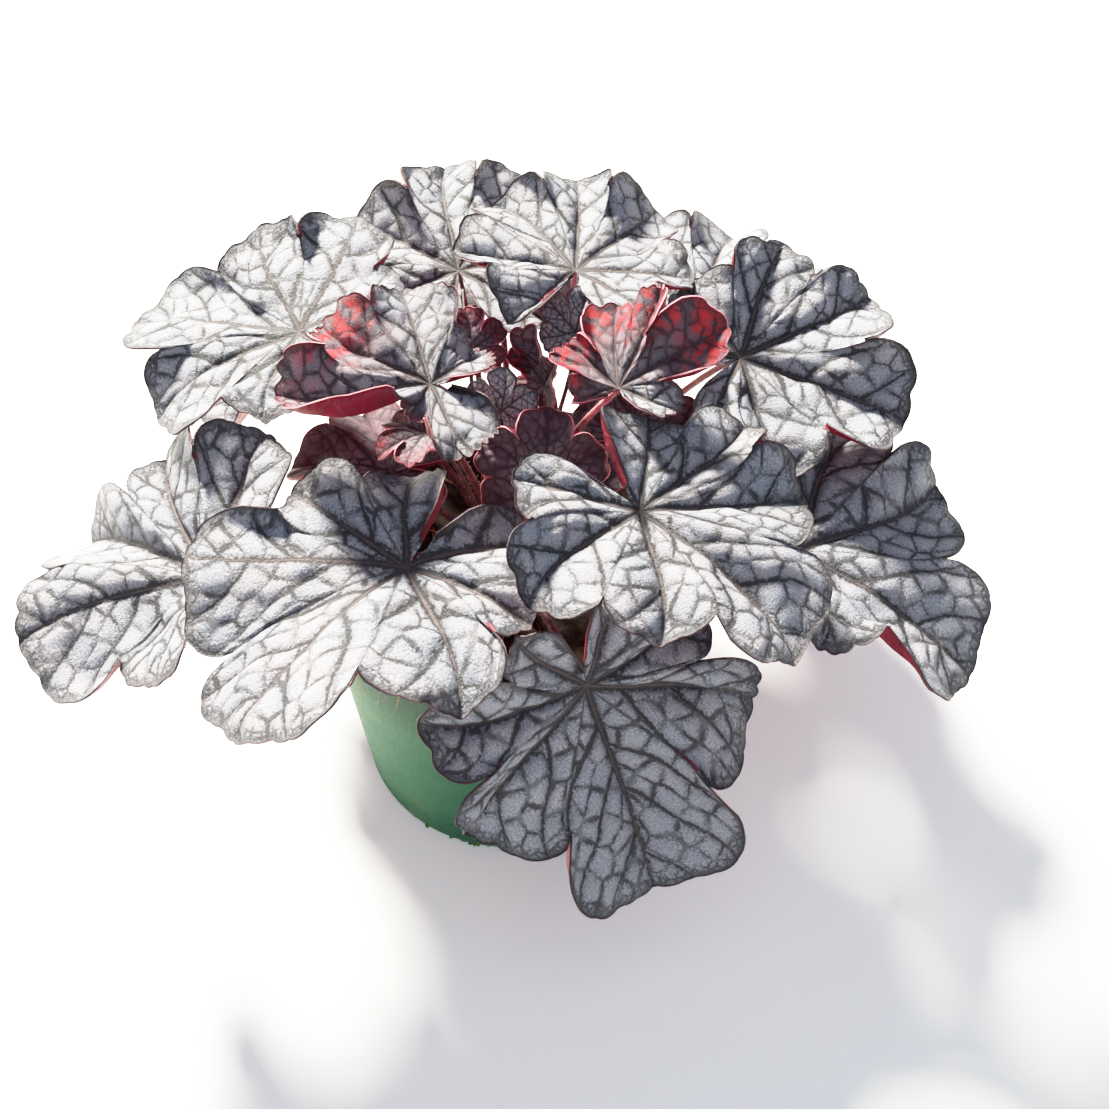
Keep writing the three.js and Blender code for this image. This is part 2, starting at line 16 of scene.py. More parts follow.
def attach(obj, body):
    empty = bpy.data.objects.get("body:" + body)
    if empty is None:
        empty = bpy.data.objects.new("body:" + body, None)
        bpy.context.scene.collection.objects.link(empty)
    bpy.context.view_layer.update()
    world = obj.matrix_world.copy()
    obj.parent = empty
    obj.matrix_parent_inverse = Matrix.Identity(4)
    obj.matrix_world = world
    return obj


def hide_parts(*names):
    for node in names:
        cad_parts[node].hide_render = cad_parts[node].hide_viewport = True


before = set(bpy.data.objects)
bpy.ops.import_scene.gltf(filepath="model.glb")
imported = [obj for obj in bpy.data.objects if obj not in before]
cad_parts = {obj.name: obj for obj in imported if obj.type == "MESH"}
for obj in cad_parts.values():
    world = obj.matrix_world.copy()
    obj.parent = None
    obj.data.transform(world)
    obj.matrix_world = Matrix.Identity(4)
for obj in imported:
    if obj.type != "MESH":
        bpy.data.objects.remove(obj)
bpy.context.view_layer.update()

MM = 0.001
BODY = "root"

# ---------------------------------------------------------------- the plant's own measures

POT = dict(height=128, top=75, base=60, wall=1.6, floor=4.5, rounding=10, lip=1.4, lip_height=4)
CHANNEL = dict(count=4, width=9, depth=2.4, start=22)
HOLE = dict(radius=4, distance=40)
SOIL_TOP = 118
CROWN = dict(center=np.array([0, 0, 105.0]), radius=23, hole=8, bottom=92)

BLADE_THICKNESS = 0.55
SINUS = (9, 9)  # degrees from the stalk's line to the blade, on its two sides
SINUS_REACH = 0.3  # of a basal lobe's length, where the blade ends at the stalk
LOBE_FULLNESS = 3.2
LOBE_TIP = 2.2
SCALLOP = 0.03
CUP = 8  # degrees that the blade rises from the junction
PLEAT = 0.17  # rise of the blade between two main veins, to each length outward
BASAL_PLEAT = 0.6
WAVES = ((0.05, 3.5, 2), (0.02, 8, 5))  # height, turns, onset
FLICK = dict(height=0.03, start=0.66, width=0.16, basal=0.3, draw=0.5)  # how notches turn up
ROLL = dict(length=0.05, turn=150, least=0.09, width=0.5, waver=0.3)  # how a margin rolls over
BOW = math.radians(8)  # the most that a main vein bows sideways
WRINKLES = ((30, 0.4), (17, 0.18), (10, 0.08))  # length and height of the blade's soft waves
TEETH = dict(depth=1.0, width=3.0, sharpness=0.6)  # small rounded teeth, in millimetres
YOUNG_TEETH = dict(depth=4.0, width=1.9, sharpness=0.7)
# How far panels and cells swell and main and side veins sink, in millimetres.
RELIEF = dict(panel=0.6, cell=0.26, main=0.4, side=0.24, ripple=0.14)
CLEARANCE = dict(margin=0.08, inside=0.3, reach=3)  # what the lower face keeps clear as well
MARGIN_ROUNDING = 0.12
# How far apart a blade's points are, on a grown leaf and as steps on a smaller one.
GRID = dict(grown=1.5, grown_size=55, steps=40, least=0.7, coarser=1)
STALK = dict(sides=14, step=2.5, foot=1.15, taper=0.25)
ARRIVAL = (0.5, 0.86)  # how far a stalk comes in along its blade and up into it
# Hairs to a millimetre of a rosy or a plum stalk, and their measures.
HAIRS = dict(rosy=2.2, plum=1.2, length=(0.7, 1.6), stray=0.25, width=0.06, root=0.1)

SEVEN = dict(angles=(132, 87, 43, 0, -43, -87, -132), lobes=(0.72, 0.88, 0.97, 1, 0.97, 0.88, 0.72))
FIVE = dict(angles=(112, 56, 0, -56, -112), lobes=(0.78, 0.93, 1, 0.93, 0.78))

# Each leaf as in the part: junction, where its stalk meets its blade; base, the lean and the
# compass direction of its stalk at the crown; then the blade's place, outline and curl. The
# last few say how it looks: flush is how red each lobe is, from left to right, glow how far
# the light shines red through it, pink how rosy its silver is, and stem the stalk's colour.
LEAVES = [
    dict(name="leaf_front_hanging", junction=(30, -80, 145), base=(40, -70), heading=-50, pitch=-70,
         roll=12, size=76, angles=(145, 100, 60, 0, -60, -105, -150),
         lobes=(0.6, 0.7, 0.9, 1.2, 0.9, 0.85, 0.55), curl=(25, 40, 5, -5, 20, 20, 15),
         flicks={3: 0.06, 4: 0.08}, notch=0.7, stalk=1.6, seed=1, pink=0.1),
    dict(name="leaf_front_left", junction=(-33, -56, 182), base=(30, -120), bow=(0, -6, -4),
         heading=-127, pitch=4, roll=3, size=84, angles=(155, 100, 55, -5, -60, -90, -145),
         lobes=(0.62, 0.6, 0.8, 1.05, 0.97, 0.64, 0.54), curl=(60, 50, 25, 45, 26, 14, 10),
         twist=(30, 0, 0, 10, -12, 0, 0), pleats={3: 0.12, 4: -0.04, 5: -0.04},
         flicks={0: 0.06, 5: 0.08, 7: 0.14}, notch=0.8, stalk=1.5, seed=2, pink=0.7),
    dict(name="leaf_front_right", junction=(49, -38, 191), base=(22, -35), heading=-39, pitch=-9,
         roll=-2, size=67, angles=(125, 85, 50, -5, -45, -95, -145),
         lobes=(0.6, 0.84, 0.9, 1.16, 0.84, 0.85, 0.7), curl=(0, 18, 14, 28, 30, 30, 10),
         twist=(20, 0, -10, 0, 0, 0, -10), flicks={0: 0.12, 2: 0.12, 5: 0.07}, notch=0.84,
         stalk=1.5, seed=3, pink=0.6),
    dict(name="leaf_far_left", junction=(-110, -34, 151), base=(40, -165), heading=-159, pitch=-22,
         roll=4, size=76, angles=(145, 100, 55, -10, -55, -90, -140),
         lobes=(0.38, 0.38, 0.66, 1, 1.08, 0.85, 0.76), curl=(70, 60, 0, 14, 34, 18, -10),
         twist=(0, 0, 6, -20, -14, 0, 0), pleats={3: -0.06, 4: 0.12}, flicks={3: 0.09, 6: 0.1},
         notch=0.76, stalk=1.5, seed=4, pink=0.4),
    dict(name="leaf_far_right", junction=(109, -22, 150), base=(40, -20), heading=-25, pitch=-17,
         roll=-12, size=78, angles=(140, 90, 60, 0, -50, -90, -140),
         lobes=(0.65, 0.85, 0.95, 1.05, 0.6, 0.5, 0.4), curl=(10, 0, 0, 30, 25, 25, 30),
         twist=(0, 0, 0, 12, 10, 0, 0), pleats={3: 0.1, 4: -0.04, 5: 0.05},
         flicks={1: 0.12, 4: 0.05}, notch=0.75, stalk=1.5, seed=5, pink=0.3),
    dict(name="leaf_left", junction=(-78, 52, 192), base=(32, 125), bow=(8, -4, 12), heading=155,
         pitch=-14, roll=-12, size=74, angles=(150, 95, 45, 5, -50, -90, -145),
         lobes=(0.6, 0.55, 0.88, 1, 0.74, 0.76, 0.6), curl=(45, 40, 30, 5, 0, 0, 45),
         twist=(0, 0, -10, 14, 6, 16, 10), pleats={2: 0.06, 3: 0.04, 4: -0.08, 5: -0.04, 6: -0.06},
         flicks={3: 0.04, 5: 0.12}, notch=0.8, stalk=1.5, seed=6, pink=0.2),
    dict(name="leaf_back_left", junction=(-20, 107, 173), base=(38, 100), bow=(0, -4, 8),
         heading=108, pitch=13, roll=-5, size=63, angles=(155, 100, 42, -10, -45, -95, -140),
         lobes=(0.65, 0.7, 0.82, 0.88, 0.92, 0.9, 0.7), curl=(45, 30, 25, 35, 25, 20, 25),
         flicks={2: 0.1, 3: 0.14, 4: 0.12}, notch=0.8, stalk=1.3, seed=7, pink=0.5),
    dict(name="leaf_back_middle", junction=(27, 74, 203), base=(32, 80), heading=85, pitch=-1,
         roll=3, size=58, angles=(145, 90, 45, 5, -35, -80, -125),
         lobes=(0.7, 0.82, 0.9, 0.84, 0.88, 0.8, 0.62), curl=(5, 15, 20, 10, 15, 24, 30),
         twist=(-15, 0, 0, 0, 18, 20, 14), pleats={4: 0.05, 5: 0.02, 6: 0.02},
         flicks={3: 0.12, 4: 0.14}, notch=0.82, sinus=(24, 22), stalk=1.3, seed=8, pink=0.6,
         stem="pink"),
    dict(name="leaf_right", junction=(90, 49, 181), base=(34, 5), bow=(0, 18, -6), heading=29,
         pitch=6, roll=28, size=66, angles=(145, 95, 40, 0, -50, -100, -140),
         lobes=(0.7, 0.56, 0.76, 0.92, 1.02, 0.8, 0.5), curl=(30, 55, 25, 20, 5, 0, 10),
         twist=(0, 10, 10, 0, 0, 0, 0), flicks={4: 0.14, 5: 0.12}, notch=0.79, stalk=1.4, seed=9,
         pink=0.3, stem="pale"),
    dict(name="leaf_right_low", junction=(104, 46, 136), base=(46, 25), bow=(0, 4, 4), heading=4,
         pitch=-24, roll=16, size=48, **SEVEN, curl=(20, 20, 20, 25, 25, 25, 20), flicks={4: 0.1},
         notch=0.8, stalk=1.4, seed=10, pink=0.1),
    dict(name="leaf_back_right", junction=(78, 98, 162), base=(40, 50), heading=72, pitch=-4,
         roll=0, size=56, **SEVEN, curl=(20, 20, 25, 20, 25, 20, 20), flicks={3: 0.1}, notch=0.8,
         stalk=1.4, seed=11, pink=0.3),
    dict(name="leaf_rear_left", junction=(-84, 98, 142), base=(46, 120), heading=146, pitch=-28,
         roll=-6, size=64, **SEVEN, curl=(20, 25, 30, 25, 30, 25, 20), flicks={2: 0.1, 5: 0.1},
         notch=0.8, stalk=1.5, seed=12, pink=0.3),
    dict(name="leaf_rear_middle", junction=(-4, 130, 143), base=(44, 85), heading=94, pitch=-22,
         roll=0, size=60, **SEVEN, curl=(20, 20, 25, 20, 25, 20, 20), flicks={3: 0.12}, notch=0.8,
         stalk=1.5, seed=13, pink=0.2),
    dict(name="leaf_rear_right", junction=(68, 130, 128), base=(48, 65), bow=(0, 0, 6), heading=64,
         pitch=-28, roll=0, size=58, **SEVEN, curl=(20, 20, 25, 20, 25, 20, 20), flicks={4: 0.12},
         notch=0.8, stalk=1.5, seed=14, pink=0.4),
    dict(name="leaf_young_left", junction=(-26, 10, 206), base=(12, 165), bow=(4, 12, 0),
         heading=176, pitch=6, roll=-16, size=50, angles=(125, 65, 12, -24, -68, -138),
         lobes=(0.66, 0.3, 1.12, 0.95, 0.86, 0.52), curl=(45, 10, 15, 5, 40, 30),
         flicks={0: 0.1, 1: 0.16, 2: 0.2, 3: 0.1, 5: 0.12}, notch=0.84, frill=2.4, stalk=1.3,
         seed=16, pink=0.8, stem="pink", flush=(0.1, 0.5, 0.5, 0.75, 0.12, 0.3),
         glow=(0, 0, 0.2, 1, 0, 0)),
    dict(name="leaf_young_right", junction=(42, 8, 206), base=(20, 15), bow=(-4, 20, 8), heading=55,
         pitch=28, roll=-14, size=42, angles=(120, 80, 35, 0, -40, -85),
         lobes=(0.5, 0.66, 0.86, 0.92, 1.12, 0.62), curl=(30, 20, 5, 0, 15, 45),
         flicks={2: 0.12, 4: 0.12, 5: 0.14}, notch=0.56, sinus=(48, 72), frill=2.6, stalk=1.2,
         seed=17, pink=0.8, stem="pink", flush=(1, 1, 0.9, 0.85, 0.95, 0.1),
         glow=(0.7, 0.9, 0.9, 0.9, 0.8, 0)),
    dict(name="leaf_young_brown", junction=(-30, 16, 174), base=(22, 140), heading=200, pitch=-10,
         roll=10, size=20, **FIVE, curl=(20, 25, 30, 25, 20), flicks={2: 0.14}, notch=0.56,
         stalk=0.9, seed=22, flush=(0.9,) * 5, glow=(0.2, 0.2, 0.4, 0.3, 0.2)),
    dict(name="leaf_inner_left", junction=(-44, 20, 148), base=(32, 155), heading=168, pitch=-4,
         roll=4, size=42, **FIVE, curl=(20, 25, 25, 25, 20), flicks={2: 0.1}, notch=0.76, stalk=1.2,
         seed=18, flush=(0.9,) * 5),
    dict(name="leaf_inner_right", junction=(46, 26, 158), base=(32, 30), heading=14, pitch=4,
         roll=0, size=34, **FIVE, curl=(20, 20, 20, 20, 20), flicks={3: 0.12}, notch=0.76,
         stalk=1.2, seed=19, flush=(0.85,) * 5),
    dict(name="leaf_inner_middle", junction=(14, 4, 158), base=(8, 15), heading=84, pitch=46,
         roll=0, size=30, **FIVE, curl=(10, 15, 10, 15, 10), flicks={2: 0.1}, notch=0.74, stalk=1.1,
         seed=20, flush=(0.95,) * 5),
    dict(name="leaf_inner_front", junction=(-6, -23, 147), base=(16, -140), heading=-95, pitch=14,
         roll=0, size=22, **FIVE, curl=(15, 20, 20, 20, 15), flicks={1: 0.1}, notch=0.76, stalk=1.1,
         seed=21, flush=(0.9,) * 5),
    dict(name="leaf_bud_left", junction=(-13, 49, 185), base=(24, 105), heading=100, pitch=38,
         roll=6, size=17, **FIVE, curl=(-20, -10, 20, -10, -20), flicks={1: 0.16, 2: 0.18, 3: 0.16},
         notch=0.54, stalk=0.9, seed=23, flush=(1,) * 5, glow=(0.4, 0.3, 0.3, 0.3, 0.4)),
    dict(name="leaf_bud_upright", junction=(15, 39, 176), base=(16, 60), heading=80, pitch=66,
         roll=-46, size=26, angles=(80, 40, 0, -40, -80), lobes=(0.5, 0.75, 1, 0.75, 0.5),
         curl=(-40, -30, -10, -20, -20), flicks={1: 0.14, 2: 0.1}, notch=0.62, stalk=1, seed=24,
         flush=(1, 0.9, 0.8, 0.9, 1), glow=(0.9, 0.5, 0.1, 0.1, 0.1)),
    dict(name="leaf_bud_right", junction=(27, 55, 189), base=(28, 60), heading=70, pitch=40, roll=0,
         size=18, **FIVE, curl=(10, 15, 20, 15, 10), flicks={2: 0.14}, notch=0.6, stalk=0.9,
         seed=25, pink=0.8, flush=(0.2,) * 5),
    dict(name="leaf_bud_pale", junction=(-1, 28, 174), base=(14, 105), heading=84, pitch=60,
         roll=-10, size=17, **FIVE, curl=(15, 20, 20, 20, 15), flicks={1: 0.12}, notch=0.66,
         stalk=0.9, seed=26, pink=0.3),
]

# ---------------------------------------------------------------- meshes


def smoothstep(low, high, x):
    t = np.clip((np.asarray(x, float) - low) / (high - low), 0, 1)
    return t * t * (3 - 2 * t)


def unit_rows(rows):
    return rows / np.maximum(np.linalg.norm(rows, axis=1), 1e-9)[:, None]


def tangents(path):
    return unit_rows(np.gradient(path, axis=0))


def build_mesh(name, points, faces, materials, slots=None, corner=None, point=None):
    """Points in millimetres. corner and point are arrays by name, one row a corner or point."""
    mesh = bpy.data.meshes.new(name)
    mesh.from_pydata((np.asarray(points) * MM).tolist(), [], [list(map(int, f)) for f in faces])
    for material in materials:
        mesh.materials.append(material)
    if slots is not None:
        mesh.polygons.foreach_set("material_index", np.asarray(slots, dtype=np.int32))
    mesh.polygons.foreach_set("use_smooth", np.ones(len(mesh.polygons), dtype=bool))
    for domain, values in (("CORNER", corner), ("POINT", point)):
        for key, rows in (values or {}).items():
            layer = mesh.attributes.new(key, "FLOAT_VECTOR", domain)
            layer.data.foreach_set("vector", np.asarray(rows, dtype=np.float32).ravel())
    mesh.update()
    piece = bpy.data.objects.new(name, mesh)
    bpy.context.scene.collection.objects.link(piece)
    return piece


def declare(piece, node=None):
    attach(piece, BODY)
    if node:
        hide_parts(node)


def joined(parts):
    """Several pairs of points and faces as one pair."""
    firsts = np.cumsum([0] + [len(points) for points, _ in parts])
    return (np.vstack([points for points, _ in parts]),
            np.vstack([faces + first for (_, faces), first in zip(parts, firsts)]))


def join_rows(a, b, span_a, span_b):
    """Triangles between two rows of point numbers. The spans place them along the seam."""
    triangles, i, j = [], 0, 0
    while i < len(a) - 1 or j < len(b) - 1:
        if j == len(b) - 1 or (i < len(a) - 1 and span_a[i + 1] <= span_b[j + 1] + 1e-9):
            triangles.append((a[i], b[j], a[i + 1]))
            i += 1
        else:
            triangles.append((a[i], b[j], b[j + 1]))
            j += 1
    return triangles


TUBE_START = (0.31, 0.17, 0.93)  # a direction that no tube starts along


def tube(path, radii, sides):
    """Points and triangles of a closed tube along a path."""
    path = np.asarray(path, float)
    tangent = tangents(path)
    side = np.cross(tangent[0], TUBE_START)
    points = []
    turns = np.arange(sides) * 2 * math.pi / sides
    for here, along, radius in zip(path, tangent, radii):
        side = side - along * np.dot(side, along)
        side /= np.linalg.norm(side)
        other = np.cross(along, side)
        ring = np.cos(turns)[:, None] * side + np.sin(turns)[:, None] * other
        points.append(here + radius * ring)
    count = len(path)
    points = np.vstack(points + [path[:1], path[-1:]])
    faces = []
    for k in range(count - 1):
        for j in range(sides):
            a, b = k * sides + j, k * sides + (j + 1) % sides
            faces += [(a, b, b + sides), (a, b + sides, a + sides)]
    start, end = count * sides, count * sides + 1
    last = (count - 1) * sides
    for j in range(sides):
        faces.append((start, (j + 1) % sides, j))
        faces.append((end, last + j, last + (j + 1) % sides))
    return points, np.array(faces)


# ---------------------------------------------------------------- materials

# Colours as a screen shows them, from 0 to 255.
PALETTE = dict(
    silver_blue=(128, 132, 150), silver_mauve=(150, 148, 161), silver_pink=(161, 147, 156),
    silver_frost=(180, 182, 190), silver_grain=(82, 80, 94),
    wine=(66, 44, 58), mauve=(98, 72, 87), mauve_speckle=(104, 72, 86), sunlit_red=(206, 22, 30),
    vein=(20, 16, 23), red_vein=(56, 22, 36), midrib=(104, 80, 78), crimson_band=(136, 14, 38),
    margin=(60, 34, 46), red_margin=(214, 130, 146),
    under=(104, 4, 28), under_light=(136, 8, 40), under_speckle=(150, 30, 60), under_vein=(128, 34, 54),
    plum=(74, 30, 40), plum_light=(116, 62, 66), pink=(176, 66, 84), pink_light=(204, 112, 120),
    pale=(206, 164, 164), pale_light=(222, 190, 180), hair=(214, 190, 190), hair_light=(236, 226, 218),
    pot=(40, 84, 62), pot_light=(52, 94, 70), film=(92, 100, 66), splash=(58, 46, 32),
    grime_and_painted_shade=(34, 50, 36), algae=(64, 96, 34), soil=(22, 15, 11), soil_light=(52, 37, 27),
    fiber=(104, 78, 54), bark=(44, 26, 22), bark_light=(104, 66, 50), sheath=(96, 30, 40),
    moss=(40, 70, 20), moss_light=(96, 138, 48), straw=(120, 84, 52), straw_light=(190, 158, 112),
    paper=(242, 242, 240), paper_glow=(248, 250, 255),
)


def srgb(name):
    channels = []
    for value in PALETTE[name]:
        share = value / 255
        channels.append(share / 12.92 if share <= 0.04045 else ((share + 0.055) / 1.055) ** 2.4)
    return (*channels, 1.0)


class Value:
    """A node's output, which is added, subtracted and multiplied as a number is."""

    def __init__(self, graph, socket):
        self.graph, self.socket = graph, socket

    def __add__(self, other):
        return self.graph.math("ADD", self, other)

    def __sub__(self, other):
        return self.graph.math("SUBTRACT", self, other)

    def __rsub__(self, other):
        return self.graph.math("SUBTRACT", other, self)

    def __mul__(self, other):
        return self.graph.math("MULTIPLY", self, other)


class Graph:
    """A tree of nodes, with short calls for those that the looks are made of."""

    def __init__(self, tree):
        self.nodes, self.links = tree.nodes, tree.links

    def put(self, socket, value):
        """A socket takes a node's output, a plain value or the name of a colour."""
        if isinstance(value, Value):
            self.links.new(value.socket, socket)
        else:
            named = socket.type == "RGBA" and isinstance(value, str)
            socket.default_value = srgb(value) if named else value

    def node(self, kind, inputs, output=0, **settings):
        """One output of a new node. Its inputs are given by number or by name."""
        node = self.nodes.new(kind)
        for key, value in settings.items():
            setattr(node, key, value)
        for key, value in inputs.items():
            self.put(node.inputs[key], value)
        return Value(self, node.outputs[output])

    def math(self, operation, *values):
        """One node, or a chain of them for more than two values."""
        if len(values) > 2:
            values = (self.math(operation, *values[:-1]), values[-1])
        return self.node("ShaderNodeMath", dict(enumerate(values)), operation=operation)

    def ramp(self, value, low, high, start=0.0, end=1.0):
        """From start to end, eased, as the value goes from low to high."""
        return self.node("ShaderNodeMapRange", dict(enumerate((value, low, high, start, end))),
                         interpolation_type="SMOOTHSTEP")

    def mix(self, share, a, b):
        return self.node("ShaderNodeMix", {0: share, 6: a, 7: b}, 2, data_type="RGBA")

    def fade(self, value, low, high, a, b):
        """From colour a to colour b as the value goes from low to high."""
        return self.mix(self.ramp(value, low, high), a, b)

    def vector(self, x, y, z=0.0):
        return self.node("ShaderNodeCombineXYZ", {0: x, 1: y, 2: z})

    def split(self, vector):
        node = self.nodes.new("ShaderNodeSeparateXYZ")
        self.put(node.inputs[0], vector)
        return [Value(self, part) for part in node.outputs]

    def attribute(self, name):
        """The three numbers that the mesh holds under a name."""
        return self.split(self.node("ShaderNodeAttribute", {}, "Vector", attribute_name=name))

    def position(self):
        """The place on the piece, in millimetres."""
        place = self.node("ShaderNodeTexCoord", {}, "Object")
        return self.node("ShaderNodeVectorMath", {0: place, "Scale": 1 / MM}, operation="SCALE")

    def noise(self, vector, scale, detail=2.0, roughness=0.5):
        inputs = dict(Vector=vector, Scale=scale, Detail=detail, Roughness=roughness)
        return self.node("ShaderNodeTexNoise", inputs, "Fac")

    def cells(self, vector, scale, randomness=1.0):
        """How far a place is from the nearest edge of flat cells."""
        inputs = dict(Vector=vector, Scale=scale, Randomness=randomness)
        return self.node("ShaderNodeTexVoronoi", inputs, "Distance", voronoi_dimensions="2D",
                         feature="DISTANCE_TO_EDGE")


class Shader(Graph):
    """The graph of a material. What is the same all over is set on the surface's own sockets."""

    def __init__(self, name, roughness, specular):
        self.material = bpy.data.materials.new(name)
        self.material.use_nodes = True
        super().__init__(self.material.node_tree)
        self.surface = self.nodes["Principled BSDF"].inputs
        self.put(self.surface["Roughness"], roughness)
        self.put(self.surface["Specular IOR Level"], specular)

    def finish(self, color, roughness=None, height=None):
        """height is the relief in millimetres."""
        self.put(self.surface["Base Color"], color)
        if roughness is not None:
            self.put(self.surface["Roughness"], roughness)
        if height is not None:
            relief = self.node("ShaderNodeBump", dict(Distance=MM, Height=height))
            self.put(self.surface["Normal"], relief)
        return self.material


# The vein network. net holds, at each corner of the mesh, the place between side veins, which
# run where it is whole, then the distance from the main vein and from the middle of the gap.
# course holds the place along the side veins, in cells. At each point of the mesh, lie holds
# the flat leaf's own coordinates and the distance from its margin, tone how red, rosy and
# sunlit it is, and reach the share of the way to the margin and the leaf's scale. All lengths
# are as on a leaf of 80 mm, so that a small leaf has a finer network.
STANDARD_SIZE = 80
SIDE_PITCH = 26.0  # along a main vein, from one side vein to the next
SIDE_SLOPE = 0.85
SIDE_BEND = 0.012
SIDE_ACROSS = 0.7  # of the pitch, square to the side veins
CELL_ROWS = 2  # rows of cells between two side veins
CELL_LENGTH = 10.5
CELL_SPREAD = 0.75
CELL_SHIFT = 0.5 + CELL_SPREAD / 2
CELL_SIZE = 8.5
MAIN_VEIN = (0.75, 1.2)  # half width at the tip, and what it gains towards the junction
SIDE_VEIN = (0.65, 0.8)
SMALL_VEIN = 0.7  # half width in the relief
SMALL_VEIN_RANGE = (0.2, 0.95)  # half width where it is finest and where it is broadest
GAP_VEIN = 0.4
CRUMPLE = 0.42  # cells a millimetre in the fine crumpled skin
PEBBLE = 0.34  # cells a millimetre in the dark net along the margin


def vein_masks(graph):
    """The leaf's network: how dark each place is, and how far it is from a vein."""
    x, y, rim = graph.attribute("lie")
    place, off, middle = graph.attribute("net")
    reach, unit, _ = graph.attribute("reach")
    course, _, _ = graph.attribute("course")
    inward = 1.0 - reach
    flat = graph.vector(x, y)
    jitter = graph.noise(flat, 0.9) - 0.5
    shift = (graph.noise(flat, 0.22) - 0.5) * 2.6 + jitter * 1.1

    off = off + shift * 0.35
    main = off - (graph.math("POWER", inward, 1.3) * MAIN_VEIN[1] + MAIN_VEIN[0])
    step = place + shift * (1 / SIDE_PITCH)
    nearest = 0.5 - graph.math("ABSOLUTE", graph.math("FRACT", step) - 0.5)
    side = nearest * (SIDE_PITCH * SIDE_ACROSS) - (inward * SIDE_VEIN[1] + (SIDE_VEIN[0] - 0.1))
    gap = middle + shift * 0.3 - GAP_VEIN
    course = course + shift * (0.6 / CELL_LENGTH)
    cell = graph.cells(graph.vector(step * CELL_ROWS + CELL_SHIFT, course), 1.0, CELL_SPREAD)
    small_width = graph.ramp(graph.noise(flat, 0.075), 0.33, 0.67, *SMALL_VEIN_RANGE)
    small = cell * CELL_SIZE + jitter * 0.9 - small_width
    strong = graph.math("MINIMUM", main, side)
    away = graph.math("MINIMUM", strong, small, gap)
    crumple = graph.cells(flat, CRUMPLE) * (1 / CRUMPLE)

    # The dark runs out from the veins in short feathers, and the smallest veins come and go.
    feather = (graph.noise(flat, 0.5, 3, 0.65) - 0.5) * 3.4
    present = graph.ramp(graph.noise(flat, 0.12), 0.38, 0.56, 0.6, 0.95)
    halo = graph.ramp(strong, 3.2, 0.0) * 0.3
    spur = graph.ramp(crumple, 0.5, 0.05) * graph.ramp(away, 1.7, 0.3) * 0.6
    dark = graph.math("MAXIMUM", graph.ramp(main + feather, 0.9, -0.6),
                      graph.ramp(side + feather * 0.8, 0.8, -0.5),
                      graph.ramp(small, 0.65, -0.35) * present,
                      graph.ramp(gap, 0.45, -0.3) * 0.85, halo, spur)
    return dict(flat=flat, rim=rim, unit=unit, dark=dark, away=away, crumple=crumple,
                midrib=graph.ramp(off, 0.45, 0.1), jitter=jitter)


def leaf_top():
    graph = Shader("leaf_upper", roughness=0.5, specular=0.3)
    net = vein_masks(graph)
    flat, dark = net["flat"], net["dark"]
    flush, pink, glow = graph.attribute("tone")
    broad = graph.noise(flat, 0.05)
    speckle = graph.noise(flat, 1.5, 3, 0.75)
    grain = graph.noise(flat, 0.9, 3, 0.7)

    silver = graph.fade(broad, 0.35, 0.68, "silver_blue", "silver_mauve")
    silver = graph.mix(pink * graph.ramp(broad, 0.4, 0.6), silver, "silver_pink")
    silver = graph.fade(speckle, 0.38, 0.66, silver, "silver_frost")
    silver = graph.mix(graph.ramp(grain, 0.58, 0.4) * 0.35, silver, "silver_grain")
    red = graph.fade(broad, 0.35, 0.65, "wine", "mauve")
    red = graph.mix(graph.ramp(speckle, 0.4, 0.7) * 0.35, red, "mauve_speckle")
    tissue = graph.mix(flush, silver, red)
    # Painted light: where glow is set, the tissue is painted the red of sunlight shining through the
    # leaf.
    patch = graph.ramp(graph.noise(flat, 0.11), 0.42, 0.58)
    tissue = graph.mix(glow * patch, tissue, "sunlit_red")

    vein = graph.mix(flush, "vein", "red_vein")
    vein = graph.mix(net["midrib"] * 0.5, vein, "midrib")
    edge = net["rim"] + net["jitter"] * 3.0
    pebble = graph.cells(flat, PEBBLE) * (1 / PEBBLE)
    meshes = graph.ramp(pebble, 0.75, 0.35) * graph.ramp(edge, 7.5, 3.5, 0.0, 0.8)
    border = graph.ramp(edge, 6.5, 0.0, 0.0, 0.85)
    color = graph.mix(graph.math("MAXIMUM", dark * 0.94, meshes, border), tissue, vein)
    # Young leaves are crimson towards the margin, and every margin ends in a thin line.
    color = graph.mix(graph.ramp(edge, 4.5, 0.5) * (flush * 0.4), color, "crimson_band")
    line = graph.mix(flush, "margin", "red_margin")
    color = graph.mix(graph.ramp(net["rim"], 0.7, 0.1) * 0.8, color, line)

    dome = graph.ramp(net["away"], -0.3, 1.6) * 0.2
    crease = graph.ramp(net["crumple"], 0.0, 0.7) * 0.06
    fine = (speckle + grain) * 0.55
    rough = dark * -0.08 + graph.ramp(speckle, 0.3, 0.7, 0.56, 0.46)
    return graph.finish(color, rough, (dome + crease + fine) * net["unit"])


def leaf_under():
    graph = Shader("leaf_underside", roughness=0.5, specular=0.3)
    net = vein_masks(graph)
    speckle = graph.noise(net["flat"], 1.4)
    tissue = graph.fade(graph.noise(net["flat"], 0.08), 0.35, 0.65, "under", "under_light")
    tissue = graph.mix(graph.ramp(speckle, 0.4, 0.7) * 0.3, tissue, "under_speckle")
    color = graph.mix(net["dark"] * 0.5, tissue, "under_vein")
    return graph.finish(color, None, (net["dark"] * 0.4 + speckle * 0.12) * net["unit"])


